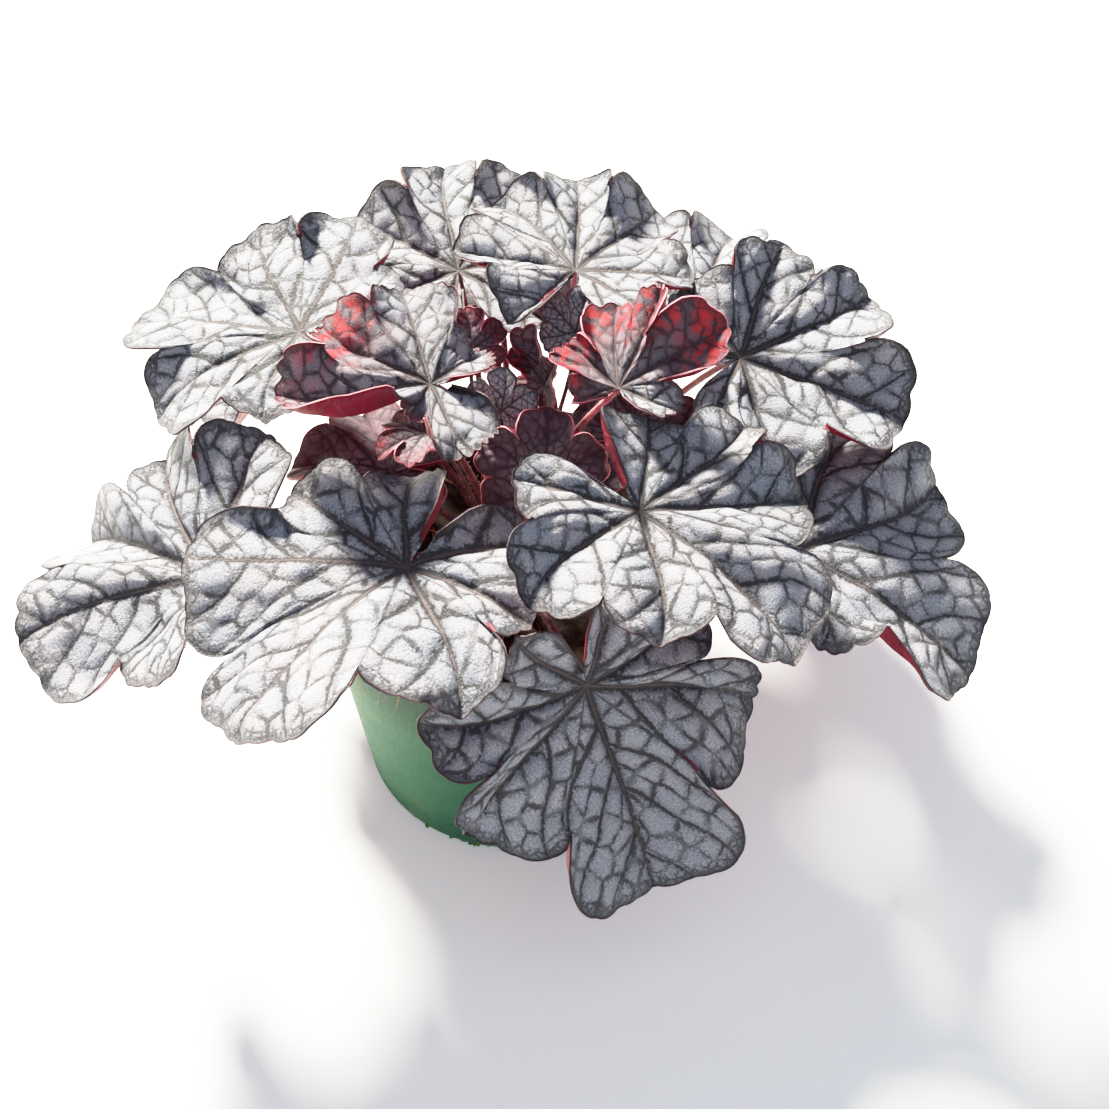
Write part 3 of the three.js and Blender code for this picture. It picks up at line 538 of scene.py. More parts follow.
def stalk_skin():
    graph = Shader("leaf_stalk", roughness=0.45, specular=0.5)
    _, pink, pale = graph.attribute("tone")
    streak = graph.noise(graph.position(), 0.35, 3, 0.6)
    plum_color, pink_color, pale_color = (
        graph.fade(streak, 0.35, 0.65, name, name + "_light") for name in ("plum", "pink", "pale"))
    color = graph.fade(pink, 0.0, 1.0, plum_color, pink_color)
    color = graph.fade(pale, 0.0, 1.0, color, pale_color)
    return graph.finish(color, None, streak * 0.25)


def hair_skin():
    graph = Shader("leaf_hair", roughness=0.5, specular=0.4)
    return graph.finish(graph.mix(graph.noise(graph.position(), 0.4, 1), "hair", "hair_light"))


# ---------------------------------------------------------------- leaves


def phase(seed, index):
    """An angle that looks random and is always the same for a leaf's seed."""
    return 2 * math.pi * math.fmod(math.sin(seed * 12.9898 + index * 78.233) * 43758.5453, 1)


def half_wave(across):
    """From 0 to 1 as across does, level at both ends."""
    return (1 - np.cos(math.pi * across)) / 2


class Leaf:
    """The formula of one leaf.

    The gaps between its main veins are numbered round the junction from left to right. The
    first and the last of them, the basal ones, lie between a vein and the slit at the stalk.
    """

    def __init__(self, spec):
        self.spec = spec
        self.name = spec["name"]
        self.junction = np.array(spec["junction"], float)
        self.size = float(spec["size"])
        self.unit = self.size / STANDARD_SIZE
        heading, pitch, roll = (math.radians(spec[key]) for key in ("heading", "pitch", "roll"))
        self.along = np.array([math.cos(heading) * math.cos(pitch),
                               math.sin(heading) * math.cos(pitch), math.sin(pitch)])
        level = np.array([-math.sin(heading), math.cos(heading), 0])
        up = np.cross(self.along, level)
        self.left = level * math.cos(roll) + up * math.sin(roll)
        self.up = up * math.cos(roll) - level * math.sin(roll)
        self.angles = np.radians(spec["angles"])
        self.lobes = np.array(spec["lobes"]) * self.size
        self.curl = np.radians(spec["curl"])
        self.count = len(self.angles)
        sinus = np.radians(spec.get("sinus", SINUS))
        self.edges = np.concatenate([[math.pi - sinus[0]], self.angles, [sinus[1] - math.pi]])
        self.flicks = np.full(self.count + 1, FLICK["height"])
        for gap, height in spec["flicks"].items():
            self.flicks[gap] = height
        self.pleats = np.full(self.count + 1, PLEAT)
        for gap, height in spec.get("pleats", {}).items():
            self.pleats[gap] = height
        self.slants = np.tan(np.radians(spec.get("twist", (0,) * self.count)))
        self.frill = spec.get("frill", 1)
        self.phases = [phase(spec["seed"], index) for index in (0, 1)]
        bows = np.random.default_rng(100 + spec["seed"]).uniform(-BOW, BOW, self.count)
        self.bows = np.concatenate([[0], bows, [0]])
        self.young = self.name.startswith(("leaf_young", "leaf_bud"))
        self.teeth = YOUNG_TEETH if self.young else TEETH
        self.random = np.random.default_rng(spec["seed"])
        self.folds = np.random.default_rng(200 + spec["seed"]).uniform(
            0, 2 * math.pi, (len(WRINKLES), 3, 2))
        self.offsets = self.random.uniform(-0.12, 0.12, 2 * self.count + 2)

    def sides(self, gap, across):
        """Whether a gap is basal, the lobes to its left and right, and how far across a basal
        gap a place is from its main vein."""
        basal = (gap == 0) | (gap == self.count)
        left, right = np.maximum(gap - 1, 0), np.minimum(gap, self.count - 1)
        return basal, left, right, np.where(gap == 0, 1 - across, across)

    def off_notch(self, gap, across):
        """How far a place is from the deepest part of its notch, in widths of the flick there."""
        basal, _, _, from_vein = self.sides(gap, across)
        return np.where(basal, (1 - from_vein) / FLICK["basal"], (across - 0.5) / FLICK["width"])

    def outline(self, gap, across):
        """How far the margin is from the junction, across from 0 to 1 in a gap."""
        basal, left, right, from_vein = self.sides(gap, across)
        near = np.where(across < 0.5, 2 * across, 2 * (1 - across))
        tip = np.where(across < 0.5, self.lobes[left], self.lobes[right])
        floor = self.spec["notch"] * (self.lobes[left] + self.lobes[right]) / 2
        falling = np.sqrt(np.maximum(0, 1 - from_vein ** LOBE_FULLNESS))
        side = self.lobes[left] * (SINUS_REACH + (1 - SINUS_REACH) * falling)
        lobe = floor + (tip - floor) * np.maximum(0, 1 - near ** LOBE_FULLNESS) ** (1 / LOBE_TIP)
        radius = np.where(basal, side, lobe)
        turn = np.where(basal, from_vein, near)
        radius = radius * (1 - SCALLOP * (1 - np.abs(np.cos(1.5 * math.pi * turn))))
        # Small teeth run along the lobes and fade in the notches.
        angle = self.edges[gap] + (self.edges[gap + 1] - self.edges[gap]) * across
        teeth = self.teeth
        beat = np.abs(np.sin(angle * self.size / teeth["width"] + self.phases[0]
                             + 0.8 * np.sin(5 * angle))) ** teeth["sharpness"]
        return radius + teeth["depth"] * self.unit * (beat - 0.7) * (1 - turn ** 4)

    def profile(self, reach, gap, across, angle, radius):
        """Distance out and height above the junction, in the leaf's own axes."""
        basal, left, right, from_vein = self.sides(gap, across)
        distance = reach * radius
        blend = half_wave(across)
        bend = (self.curl[left] * (1 - blend) + self.curl[right] * blend) / self.size + 1e-6
        cup = math.radians(CUP)
        out = (math.sin(cup) - np.sin(cup - bend * distance)) / bend
        height = (np.cos(cup - bend * distance) - math.cos(cup)) / bend
        puff = np.where(basal, BASAL_PLEAT * np.sin(math.pi * from_vein / 2),
                        np.sin(math.pi * across))
        height = height + self.pleats[gap] * distance * puff
        for vein, share in ((left, 1 - blend), (right, blend)):
            slant = distance * share * self.slants[vein]
            height = height + slant * np.sin(angle - self.angles[vein])
        for (rise, turns, onset), shift in zip(WAVES, self.phases):
            wave = self.frill * rise * self.size * reach ** onset
            height = height + wave * np.sin(turns * angle + shift)
        turned = np.maximum(0, (reach - FLICK["start"]) / (1 - FLICK["start"])) ** 2
        flick = self.flicks[gap] * np.exp(-self.off_notch(gap, across) ** 2) * turned
        return out * (1 - FLICK["draw"] * flick), height + flick * self.size

    def surface(self, reach, gap, across, angle):
        """Points of the smooth blade, whose margin rolls right over at its strongest flicks."""
        radius = self.outline(gap, across)
        out, height = self.profile(reach, gap, across, angle, radius)
        strength = smoothstep(ROLL["least"] - 0.03, ROLL["least"] + 0.04, self.flicks[gap])
        window = strength * np.exp(-(self.off_notch(gap, across) / ROLL["width"]) ** 2)
        length = ROLL["length"] * self.size
        start = np.maximum(0.3, 1 - length / radius)
        here = self.profile(start, gap, across, angle, radius)
        before = self.profile(start - 0.02, gap, across, angle, radius)
        slope = np.arctan2(here[1] - before[1], here[0] - before[0])
        waver = 0.8 + ROLL["waver"] * np.sin(angle * self.size / 2.4 + self.phases[1])
        turn = math.radians(ROLL["turn"]) * window * waver + 1e-4
        travel = np.clip((reach - start) / (1 - start), 0, 1)
        rolled_out = here[0] + length / turn * (np.sin(slope + turn * travel) - np.sin(slope))
        rolled_height = here[1] + length / turn * (np.cos(slope) - np.cos(slope + turn * travel))
        share = smoothstep(0.05, 0.45, window) * (reach > start)
        out = out * (1 - share) + rolled_out * share
        height = height * (1 - share) + rolled_height * share
        angle = self.bowed(reach, gap, across, angle)
        turned = np.cos(angle)[..., None] * self.along + np.sin(angle)[..., None] * self.left
        return self.junction + out[..., None] * turned + height[..., None] * self.up

    def bowed(self, reach, gap, across, angle):
        """The main veins bow sideways between the junction and the margin."""
        blend = half_wave(across)
        bow = self.bows[gap] * (1 - blend) + self.bows[gap + 1] * blend
        return angle + bow * 4 * reach * (1 - reach)

    def grid(self, coarse):
        """Columns round the blade and rings out to its margin, sparser towards the junction.

        A coarse grid keeps every column only at the margin, and has half the rings.
        """
        spacing = max(GRID["least"], self.size / GRID["steps"])
        if self.size > GRID["grown_size"]:
            spacing = GRID["grown"]
        spacing *= GRID["coarser"]
        spans = -np.diff(self.edges)
        columns = [max(8, 8 * round(span * self.size * 1.12 / spacing / 8)) for span in spans]
        gap = np.repeat(np.arange(len(spans)), columns)
        across = np.concatenate([np.arange(n) / n for n in columns])
        gap, across = np.append(gap, len(spans) - 1), np.append(across, 1.0)
        angle = self.edges[gap] + (self.edges[gap + 1] - self.edges[gap]) * across
        rings = max(12, round(self.size / spacing / (1 + coarse)))
        reach = np.arange(1, rings + 1) / rings
        step = np.where(reach > 0.5, 1, np.where(reach > 0.25, 2, 4))
        if coarse:
            step = np.where(reach > 0.93, 1, 2 * step)
        return dict(gap=gap, across=across, angle=angle, reach=reach, step=step)

    def face_points(self, grid):
        """Where one face's points are, its triangles, and the margin's points in order."""
        rows, number, first = [], [], 1
        for reach, step in zip(grid["reach"], grid["step"]):
            row = np.arange(0, len(grid["gap"]), step)
            rows.append(row)
            number.append(first + np.arange(len(row)))
            first += len(row)
        column = np.concatenate([[0]] + rows)
        reach = np.concatenate([[0]] + [np.full(len(r), q) for r, q in zip(rows, grid["reach"])])
        place = dict(reach=reach, **{key: grid[key][column] for key in ("gap", "across", "angle")})
        triangles, middles = [], []

        def keep(faces, where):
            triangles.append(faces)
            middles.append(where)

        inner = rows[0]
        keep(np.stack([np.zeros(len(inner) - 1, int), number[0][:-1], number[0][1:]], 1),
             (inner[:-1] + inner[1:]) / 2)
        for k in range(len(rows) - 1):
            a, b = number[k], number[k + 1]
            mid = (rows[k][:-1] + rows[k][1:]) / 2
            if grid["step"][k] == grid["step"][k + 1]:
                keep(np.stack([a[:-1], b[:-1], b[1:]], 1), mid)
                keep(np.stack([a[:-1], b[1:], a[1:]], 1), mid)
            else:
                keep(np.stack([a[:-1], b[0:-1:2], b[1::2]], 1), mid)
                keep(np.stack([a[:-1], b[1::2], a[1:]], 1), mid)
                keep(np.stack([a[1:], b[1::2], b[2::2]], 1), mid)
        margin = np.concatenate([[0]] + [n[:1] for n in number[:-1]] + [number[-1]]
                                + [n[-1:] for n in number[-2::-1]])
        return dict(place=place, faces=np.vstack(triangles), middle=np.concatenate(middles),
                    margin=margin)

    def network(self, grid, face):
        """The net and course attributes at each corner of each triangle."""
        where, place = face["middle"], face["place"]
        low = np.floor(where).astype(int)
        gap = grid["gap"][low]
        widths = np.bincount(grid["gap"][:-1], minlength=self.count + 1)
        firsts = np.concatenate([[0], np.cumsum(widths)[:-1]])
        across = (where - firsts[gap]) / widths[gap]
        lobe = np.where(gap == 0, 0, np.where(gap == self.count, self.count - 1,
                                              np.where(across < 0.5, gap - 1, gap)))
        right = gap > lobe
        corner = face["faces"]
        distance = (place["reach"] * self.outline(place["gap"], place["across"]))[corner]
        angle = place["angle"][corner]
        turned = np.where(corner == 0, 0, angle - self.angles[lobe][:, None])
        along = distance * np.cos(turned) / self.unit
        off = np.abs(distance * np.sin(turned)) / self.unit
        half = 2 * lobe + right
        offsets = 0.5 * right + self.offsets[half]
        # A slow warp and a place of its own for each half lobe keep the net from repeating.
        x = distance * np.cos(angle) / self.unit
        y = distance * np.sin(angle) / self.unit
        warp = 0.14 * np.sin(x * 0.11 + self.phases[0]) * np.sin(y * 0.1 + self.phases[1])
        step = ((along - SIDE_SLOPE * off - SIDE_BEND * off ** 2) / SIDE_PITCH
                + offsets[:, None] + warp + 10 * half[:, None])
        middle_angle = (self.edges[gap] + self.edges[gap + 1]) / 2
        middle = np.abs(distance * np.sin(angle - middle_angle[:, None])) / self.unit
        basal = (gap == 0) | (gap == self.count)
        middle = np.where(basal[:, None], 30, middle)
        middle = np.where(corner == 0, 0, middle)
        stretch = math.hypot(1, SIDE_SLOPE)
        course = (SIDE_SLOPE * along + off) / stretch / CELL_LENGTH + CELL_SHIFT
        return np.stack([step, off, middle], axis=-1), course + 10 * half[:, None]

    def per_point(self, reach, gap, across, angle):
        """The lie, tone and reach attributes at each point."""
        radius = self.outline(gap, across)
        distance = reach * radius
        lie = np.stack([distance * np.cos(angle), distance * np.sin(angle),
                        (1 - reach) * radius], 1) / self.unit
        lie[:, 0] += 200 * self.spec["seed"]  # each leaf has its own stretch of the noise
        _, left, right, _ = self.sides(gap, across)
        blend = smoothstep(0.25, 0.75, across)
        tones = []
        for key in ("flush", "pink", "glow"):
            value = self.spec.get(key, 0)
            lobes = np.array(value if isinstance(value, tuple) else [value] * self.count, float)
            tone = lobes[left] * (1 - blend) + lobes[right] * blend
            if key == "flush":
                tone = tone * (0.55 + 0.45 * smoothstep(0.1, 0.8, reach))
            if key == "glow":
                tone = tone * smoothstep(0.45, 0.9, reach)
            tones.append(tone)
        reach_rows = np.stack([reach, np.full(len(reach), self.unit), np.zeros(len(reach))], 1)
        return dict(lie=lie, tone=np.stack(tones, 1), reach=reach_rows)

    def wrinkles(self, reach, lie):
        """Soft waves of the whole blade in many directions, in millimetres."""
        height = np.zeros(len(lie))
        for (length, rise), folds in zip(WRINKLES, self.folds):
            for turn, shift in folds:
                across = lie[:, 0] * math.cos(turn) + lie[:, 1] * math.sin(turn)
                height += rise * np.sin(across * 2 * math.pi / length + shift)
        return height * smoothstep(0.05, 0.4, reach) * self.unit

    def relief(self, net, reach, edge, lie):
        """Height over the smooth surface in millimetres: veins sunk, cells puffed up."""
        place, off, middle = net[:, 0], net[:, 1], net[:, 2]
        inward = 1 - reach
        main = off - (MAIN_VEIN[0] + MAIN_VEIN[1] * inward ** 1.3)
        nearest = 0.5 - np.abs(place % 1 - 0.5)
        side = nearest * SIDE_PITCH * SIDE_ACROSS - (SIDE_VEIN[0] + SIDE_VEIN[1] * inward)
        small = edge * CELL_SIZE - SMALL_VEIN
        gap = middle - GAP_VEIN
        strong = np.minimum(main, side)
        away = np.minimum(strong, np.minimum(small, gap))
        calm = smoothstep(0.02, 0.3, reach)
        fade = 1 - 0.6 * smoothstep(2.5, 0, lie[:, 2])
        swell = (RELIEF["panel"] * smoothstep(-0.4, 6.0, strong)
                 + RELIEF["cell"] * smoothstep(-0.4, 2.2, away))
        sunk = (RELIEF["main"] * smoothstep(0.7, -0.5, main)
                + RELIEF["side"] * smoothstep(0.6, -0.4, side))
        ripple = RELIEF["ripple"] * np.sin(lie[:, 0] * 0.9) * np.sin(lie[:, 1] * 0.8 + 1)
        return (swell - sunk + ripple * smoothstep(0, 3, away)) * calm * fade * self.unit


def corner_to_point(values, faces, count):
    """One of each point's corner values, the first triangle's."""
    rows = np.zeros((count, values.shape[-1]))
    flat = faces.ravel()[::-1]
    rows[flat] = values.reshape(-1, values.shape[-1])[::-1]
    return rows


def cell_edges(places):
    """How far each place is from the nearest edge of the leaf material's cells."""
    mesh = bpy.data.meshes.new("probe")
    mesh.vertices.add(len(places))
    layer = mesh.attributes.new("cell", "FLOAT_VECTOR", "POINT")
    layer.data.foreach_set("vector", np.asarray(places, dtype=np.float32).ravel())
    probe = bpy.data.objects.new("probe", mesh)
    bpy.context.scene.collection.objects.link(probe)
    tree = bpy.data.node_groups.new("probe", "GeometryNodeTree")
    for way in ("INPUT", "OUTPUT"):
        tree.interface.new_socket("Geometry", in_out=way, socket_type="NodeSocketGeometry")
    graph = Graph(tree)
    cell = graph.node("GeometryNodeInputNamedAttribute", dict(Name="cell"), "Attribute",
                      data_type="FLOAT_VECTOR")
    inputs = dict(Geometry=graph.node("NodeGroupInput", {}), Name="edge",
                  Value=graph.cells(cell, 1.0, CELL_SPREAD))
    stored = graph.node("GeometryNodeStoreNamedAttribute", inputs, data_type="FLOAT", domain="POINT")
    graph.put(graph.nodes.new("NodeGroupOutput").inputs[0], stored)
    probe.modifiers.new("probe", "NODES").node_group = tree
    bpy.context.view_layer.update()
    shown = probe.evaluated_get(bpy.context.evaluated_depsgraph_get()).data
    edge = np.zeros(len(places), dtype=np.float32)
    shown.attributes["edge"].data.foreach_get("value", edge)
    bpy.data.objects.remove(probe)
    bpy.data.meshes.remove(mesh)
    bpy.data.node_groups.remove(tree)
    return edge


def normals_of(points, faces):
    a, b, c = (points[faces[:, i]] for i in range(3))
    cross = np.cross(b - a, c - a)
    total = np.zeros_like(points)
    for i in range(3):
        np.add.at(total, faces[:, i], cross)
    return unit_rows(total)


def seam_span(grid, face):
    """Places the margin's points by side of the blade, so that both faces match."""
    reach, angle = grid["reach"], face["place"]["angle"][face["margin"]]
    rings, columns = len(reach), len(grid["gap"])
    out = np.concatenate([[0], reach[:-1]])
    turn = 1 + angle[rings] - angle[rings:rings + columns]
    span = np.concatenate([out, turn, turn[-1] + 1 - reach[-2::-1]])
    return np.append(span, span[-1] + 1)


def sheet(leaf, coarse):
    """One face of a blade before its relief, and all that is worked out along with it."""
    grid = leaf.grid(coarse)
    face = leaf.face_points(grid)
    faces, reach = face["faces"], face["place"]["reach"]
    net, course = leaf.network(grid, face)
    points = leaf.surface(**face["place"])
    points[0] = leaf.junction
    rows = leaf.per_point(**face["place"])
    single = corner_to_point(net, faces, len(points))
    along = corner_to_point(course[..., None], faces, len(points))[:, 0]
    cell = np.stack([single[:, 0] * CELL_ROWS + CELL_SHIFT, along, np.zeros(len(points))], 1)
    lift = leaf.relief(single, reach, cell_edges(cell), rows["lie"])
    normal = -normals_of(points, faces)
    points = points + normal * leaf.wrinkles(reach, rows["lie"])[:, None]
    return dict(points=points, lift=lift, normal=normal, faces=faces, net=net, course=course,
                rows=rows, margin=face["margin"], span=seam_span(grid, face))


def blade(leaf):
    """A closed blade: its points and faces, its slots, and its attributes by name."""
    top, low = sheet(leaf, False), sheet(leaf, True)
    upper = top["points"] + top["normal"] * top["lift"][:, None]
    # The lower face is coarser, so it keeps clear of the upper one, and least at the margin.
    inward = smoothstep(0, CLEARANCE["reach"], low["rows"]["lie"][:, 2])
    clear = CLEARANCE["margin"] + CLEARANCE["inside"] * inward
    lift = np.minimum(0.5 * low["lift"], low["lift"])
    lower = low["points"] + low["normal"] * (lift - BLADE_THICKNESS - clear)[:, None]
    # A ring between the two faces rounds the margin.
    rim = top["margin"]
    outward = np.cross(top["normal"][rim], tangents(upper[rim]))
    middle = (upper[rim] - top["normal"][rim] * BLADE_THICKNESS * 0.5) + outward * MARGIN_ROUNDING
    count_top, count_mid = len(upper), len(rim)
    points = np.vstack([upper, middle, lower])
    rim_loop, mid_loop, low_loop = (
        np.append(loop, loop[0])
        for loop in (rim, count_top + np.arange(count_mid), count_top + count_mid + low["margin"]))
    upper_edge = np.array(join_rows(rim_loop, mid_loop, top["span"], top["span"]))
    lower_edge = np.array(join_rows(mid_loop, low_loop, top["span"], low["span"]))
    low_faces = low["faces"] + count_top + count_mid
    faces = np.vstack([top["faces"][:, ::-1], upper_edge, lower_edge, low_faces])
    slots = np.concatenate([np.zeros(len(faces) - len(low_faces), int),
                            np.ones(len(low_faces), int)])
    edge_net = np.full((len(upper_edge) + len(lower_edge), 3, 3), (0.5, 9.0, 9.0))
    net = np.concatenate([top["net"][:, ::-1], edge_net, low["net"]])
    course = np.concatenate([top["course"][:, ::-1], np.zeros(edge_net.shape[:2]), low["course"]])
    course = np.stack([course, course * 0, course * 0], axis=-1)
    rows = {}
    for key in ("lie", "tone", "reach"):
        rows[key] = np.vstack([top["rows"][key], top["rows"][key][rim], low["rows"][key]])
    return (points, faces), slots, dict(net=net, course=course), rows


def stalk_path(leaf, count):
    lean, compass = np.radians(leaf.spec["base"])
    start = np.array([math.sin(lean) * math.cos(compass), math.sin(lean) * math.sin(compass),
                      math.cos(lean)])
    arrival = ARRIVAL[0] * leaf.along + ARRIVAL[1] * leaf.up
    foot = CROWN["center"] + start * (CROWN["radius"] - CROWN["hole"])
    length = np.linalg.norm(foot - leaf.junction)
    bow = np.array(leaf.spec.get("bow", (0, 0, 0)), float)
    knots = (foot, foot + start * (CROWN["hole"] + 0.3 * length) + bow,
             leaf.junction - arrival * 0.3 * length + bow, leaf.junction + arrival * 0.1)
    t = np.linspace(0, 1, count)[:, None]
    path = ((1 - t) ** 3 * knots[0] + 3 * t * (1 - t) ** 2 * knots[1]
            + 3 * t * t * (1 - t) * knots[2] + t ** 3 * knots[3])
    path[-1] -= leaf.up * BLADE_THICKNESS
    return path


STEMS = dict(plum=(0, 0, 0), pink=(0, 1, 0), pale=(0, 0, 1))  # their tone attributes


def stalk_and_hairs(leaf):
    """The points and faces of the stalk, and of the short hairs that stand on it."""
    spec = leaf.spec
    rough = stalk_path(leaf, 40)
    length = np.linalg.norm(np.diff(rough, axis=0), axis=1).sum()
    path = stalk_path(leaf, max(12, round(length / STALK["step"])))
    t = np.linspace(0, 1, len(path))
    radii = spec["stalk"] * (STALK["foot"] - STALK["taper"] * t) * (1 - 0.6 * smoothstep(0.95, 1, t))
    radii *= 1 + 0.03 * np.sin(t * 37 + spec["seed"])
    stalk = tube(path, radii, STALK["sides"])
    hairs = int(length * HAIRS["rosy" if spec.get("stem") else "plum"])
    random = leaf.random
    at = random.uniform(0.12, 0.97, hairs) * (len(path) - 1)
    low = np.minimum(at.astype(int), len(path) - 2)
    part = (at - low)[:, None]
    center = path[low] * (1 - part) + path[low + 1] * part
    along = tangents(path)[low]
    guess = random.normal(size=(hairs, 3))
    side = unit_rows(guess - along * np.sum(guess * along, axis=1)[:, None])
    root = center + side * (radii[low][:, None] - HAIRS["root"])
    tip = root + side * random.uniform(*HAIRS["length"], (hairs, 1))
    tip = tip + random.normal(scale=HAIRS["stray"], size=(hairs, 3))
    cross = np.cross(side, along)
    width = HAIRS["width"]
    corners = [root + cross * width, root - cross * width * 0.5 + along * width * 0.87,
               root - cross * width * 0.5 - along * width * 0.87, tip]
    hair_points = np.stack(corners, 1).reshape(-1, 3)
    base = 4 * np.arange(hairs)[:, None]
    hair_faces = np.vstack([base + corner for corner in ([0, 1, 3], [1, 2, 3], [2, 0, 3], [0, 2, 1])])
    return stalk, (hair_points, hair_faces)


def make_leaf(spec, materials):
    leaf = Leaf(spec)
    face, face_slots, net, rows = blade(leaf)
    stalk, hairs = stalk_and_hairs(leaf)
    points, faces = joined([face, stalk, hairs])
    slots = np.concatenate([face_slots, np.full(len(stalk[1]), 2), np.full(len(hairs[1]), 3)])
    stem_rows = np.zeros((len(points) - len(face[0]), 3))
    stem_net = np.zeros((3 * (len(faces) - len(face[1])), 3))
    tone = stem_rows + STEMS[spec.get("stem", "plum")]
    corner = {key: np.vstack([values.reshape(-1, 3), stem_net]) for key, values in net.items()}
    point = {key: np.vstack([values, tone if key == "tone" else stem_rows])
             for key, values in rows.items()}
    piece = build_mesh("fine_" + leaf.name, points, faces, materials, slots, corner, point)
    declare(piece, leaf.name)


leaf_materials = [leaf_top(), leaf_under(), stalk_skin(), hair_skin()]
for leaf_spec in LEAVES:
    make_leaf(leaf_spec, leaf_materials)

# ---------------------------------------------------------------- pot


def wall_radius(z):
    return POT["base"] + (POT["top"] - POT["base"]) * z / POT["height"]


FOOT_RADIUS = wall_radius(POT["rounding"]) - POT["rounding"]  # where the foot starts to round


def pot_skin():
    graph = Shader("pot_green", roughness=0.45, specular=0.06)
    place = graph.position()
    x, y, up = graph.split(place)
    cloud = graph.noise(place, 0.03, 3, 0.6)
    fine = graph.noise(place, 0.9, 3, 0.6)
    green = graph.fade(cloud, 0.3, 0.7, "pot", "pot_light")
    # Splashed soil dries on the wall, thickest near the foot. Towards the rim the wall darkens, partly
    # grime and partly painted shade of the leaves over it.
    specks = graph.noise(place, 0.55, 4, 0.7)
    splash = graph.ramp(specks + graph.ramp(up, 60.0, 0.0, 0.0, 0.09), 0.68, 0.76)
    film = graph.ramp(cloud + graph.ramp(up, 40.0, 0.0, 0.0, 0.25), 0.6, 0.95)
    green = graph.mix(film * 0.45, green, "film")
    green = graph.mix(splash * 0.75, green, "splash")
    # Painted shade with some grime: the wall darkens towards the rim, where the leaves hang over it.
    green = graph.mix(graph.ramp(up + cloud * 30.0, 95.0, 130.0, 0.0, 0.65), green, "grime_and_painted_shade")
    # Algae and moss creep up from the foot.
    creep = graph.noise(place, 0.16, 4, 0.7) + graph.ramp(up, 9.0, 0.0, -0.3, 0.16)
    algae = graph.ramp(creep, 0.56, 0.66)
    color = graph.mix(algae * 0.9, green, "algae")
    scratch = graph.noise(graph.vector(x, y, up * 0.12), 1.6)
    rough = splash * 0.35 + graph.ramp(scratch, 0.3, 0.7, 0.46, 0.6)
    return graph.finish(color, rough, splash * 0.25 + (fine * 0.05 + algae * 0.5))


def lathe(profile, segments):
    """Points and quads of a profile, (radius, height) from axis to axis, turned about Z."""
    turns = np.arange(segments) * 2 * math.pi / segments
    rings = profile[1:-1]
    points = [(0, 0, profile[0][1]), (0, 0, profile[-1][1])]
    for radius, height in rings:
        points += [(radius * math.cos(t), radius * math.sin(t), height) for t in turns]
    faces = []
    for k in range(len(rings) - 1):
        for j in range(segments):
            a, b = 2 + k * segments + j, 2 + k * segments + (j + 1) % segments
            faces.append((a, b, b + segments, a + segments))
    last = 2 + (len(rings) - 1) * segments
    for j in range(segments):
        faces.append((0, 2 + (j + 1) % segments, 2 + j))
        faces.append((1, last + j, last + (j + 1) % segments))
    return np.array(points, float), faces


def sharpen(mesh, degrees=38):
    work = bmesh.new()
    work.from_mesh(mesh)
    for edge in work.edges:
        if len(edge.link_faces) == 2 and edge.calc_face_angle() > math.radians(degrees):
            edge.smooth = False
    work.to_mesh(mesh)
    work.free()


def pot_profile():
    """The section of the pot, from the middle of its underside to the middle of its floor."""
    rounding, top = POT["rounding"], POT["height"]
    lip_foot = top - POT["lip_height"]
    inner, outer = POT["top"] - POT["wall"], POT["top"] + POT["lip"]
    profile = [(0, 0)] + [(r, 0) for r in np.linspace(4, FOOT_RADIUS, 22)]
    for turn in np.radians(np.linspace(8, 90, 11)):
        profile.append((FOOT_RADIUS + rounding * math.sin(turn), rounding * (1 - math.cos(turn))))
    profile += [(wall_radius(z), z) for z in np.linspace(rounding + 4, lip_foot - 1, 26)]
    profile += [(wall_radius(lip_foot) + 0.3, lip_foot - 0.2), (outer - 0.5, lip_foot + 0.4),
                (outer, lip_foot + 1.0), (outer, top - 1.2), (outer - 0.35, top - 0.4),
                (outer - 1.0, top), (inner + 0.5, top), (inner, top - 0.5)]
    profile += [(wall_radius(z) - POT["wall"], z) for z in np.linspace(top - 3, rounding + 4, 12)]
    return profile + [(FOOT_RADIUS, POT["floor"]), (0, POT["floor"])]


def raise_channel(points, turn):
    """A drainage channel lifts the floor where it crosses the foot."""
    along = points[:, 0] * math.cos(turn) + points[:, 1] * math.sin(turn)
    off = np.abs(-points[:, 0] * math.sin(turn) + points[:, 1] * math.cos(turn))
    half = CHANNEL["width"] / 2
    inside = (smoothstep(half + 0.6, half - 0.6, off)
              * smoothstep(CHANNEL["start"] - 1, CHANNEL["start"] + 1, along))
    radius = np.hypot(points[:, 0], points[:, 1])
    outside = (points[:, 2] < CHANNEL["depth"]) & (radius < FOOT_RADIUS + POT["rounding"] + 1)
    lifted = np.maximum(points[:, 2], CHANNEL["depth"] * inside)
    points[:, 2] = np.where(outside, lifted, points[:, 2])


def drill(piece, cutters):
    """Cuts each closed cutter out of the piece, and removes the cutters."""
    for cutter in cutters:
        cut = piece.modifiers.new("hole", "BOOLEAN")
        cut.operation = "DIFFERENCE"
        cut.object = cutter
        cut.solver = "EXACT"
    bpy.context.view_layer.update()
    shown = piece.evaluated_get(bpy.context.evaluated_depsgraph_get())
    cut_mesh = bpy.data.meshes.new_from_object(shown)
    piece.modifiers.clear()
    plain, piece.data = piece.data, cut_mesh
    bpy.data.meshes.remove(plain)
    for cutter in cutters:
        bpy.data.objects.remove(cutter)


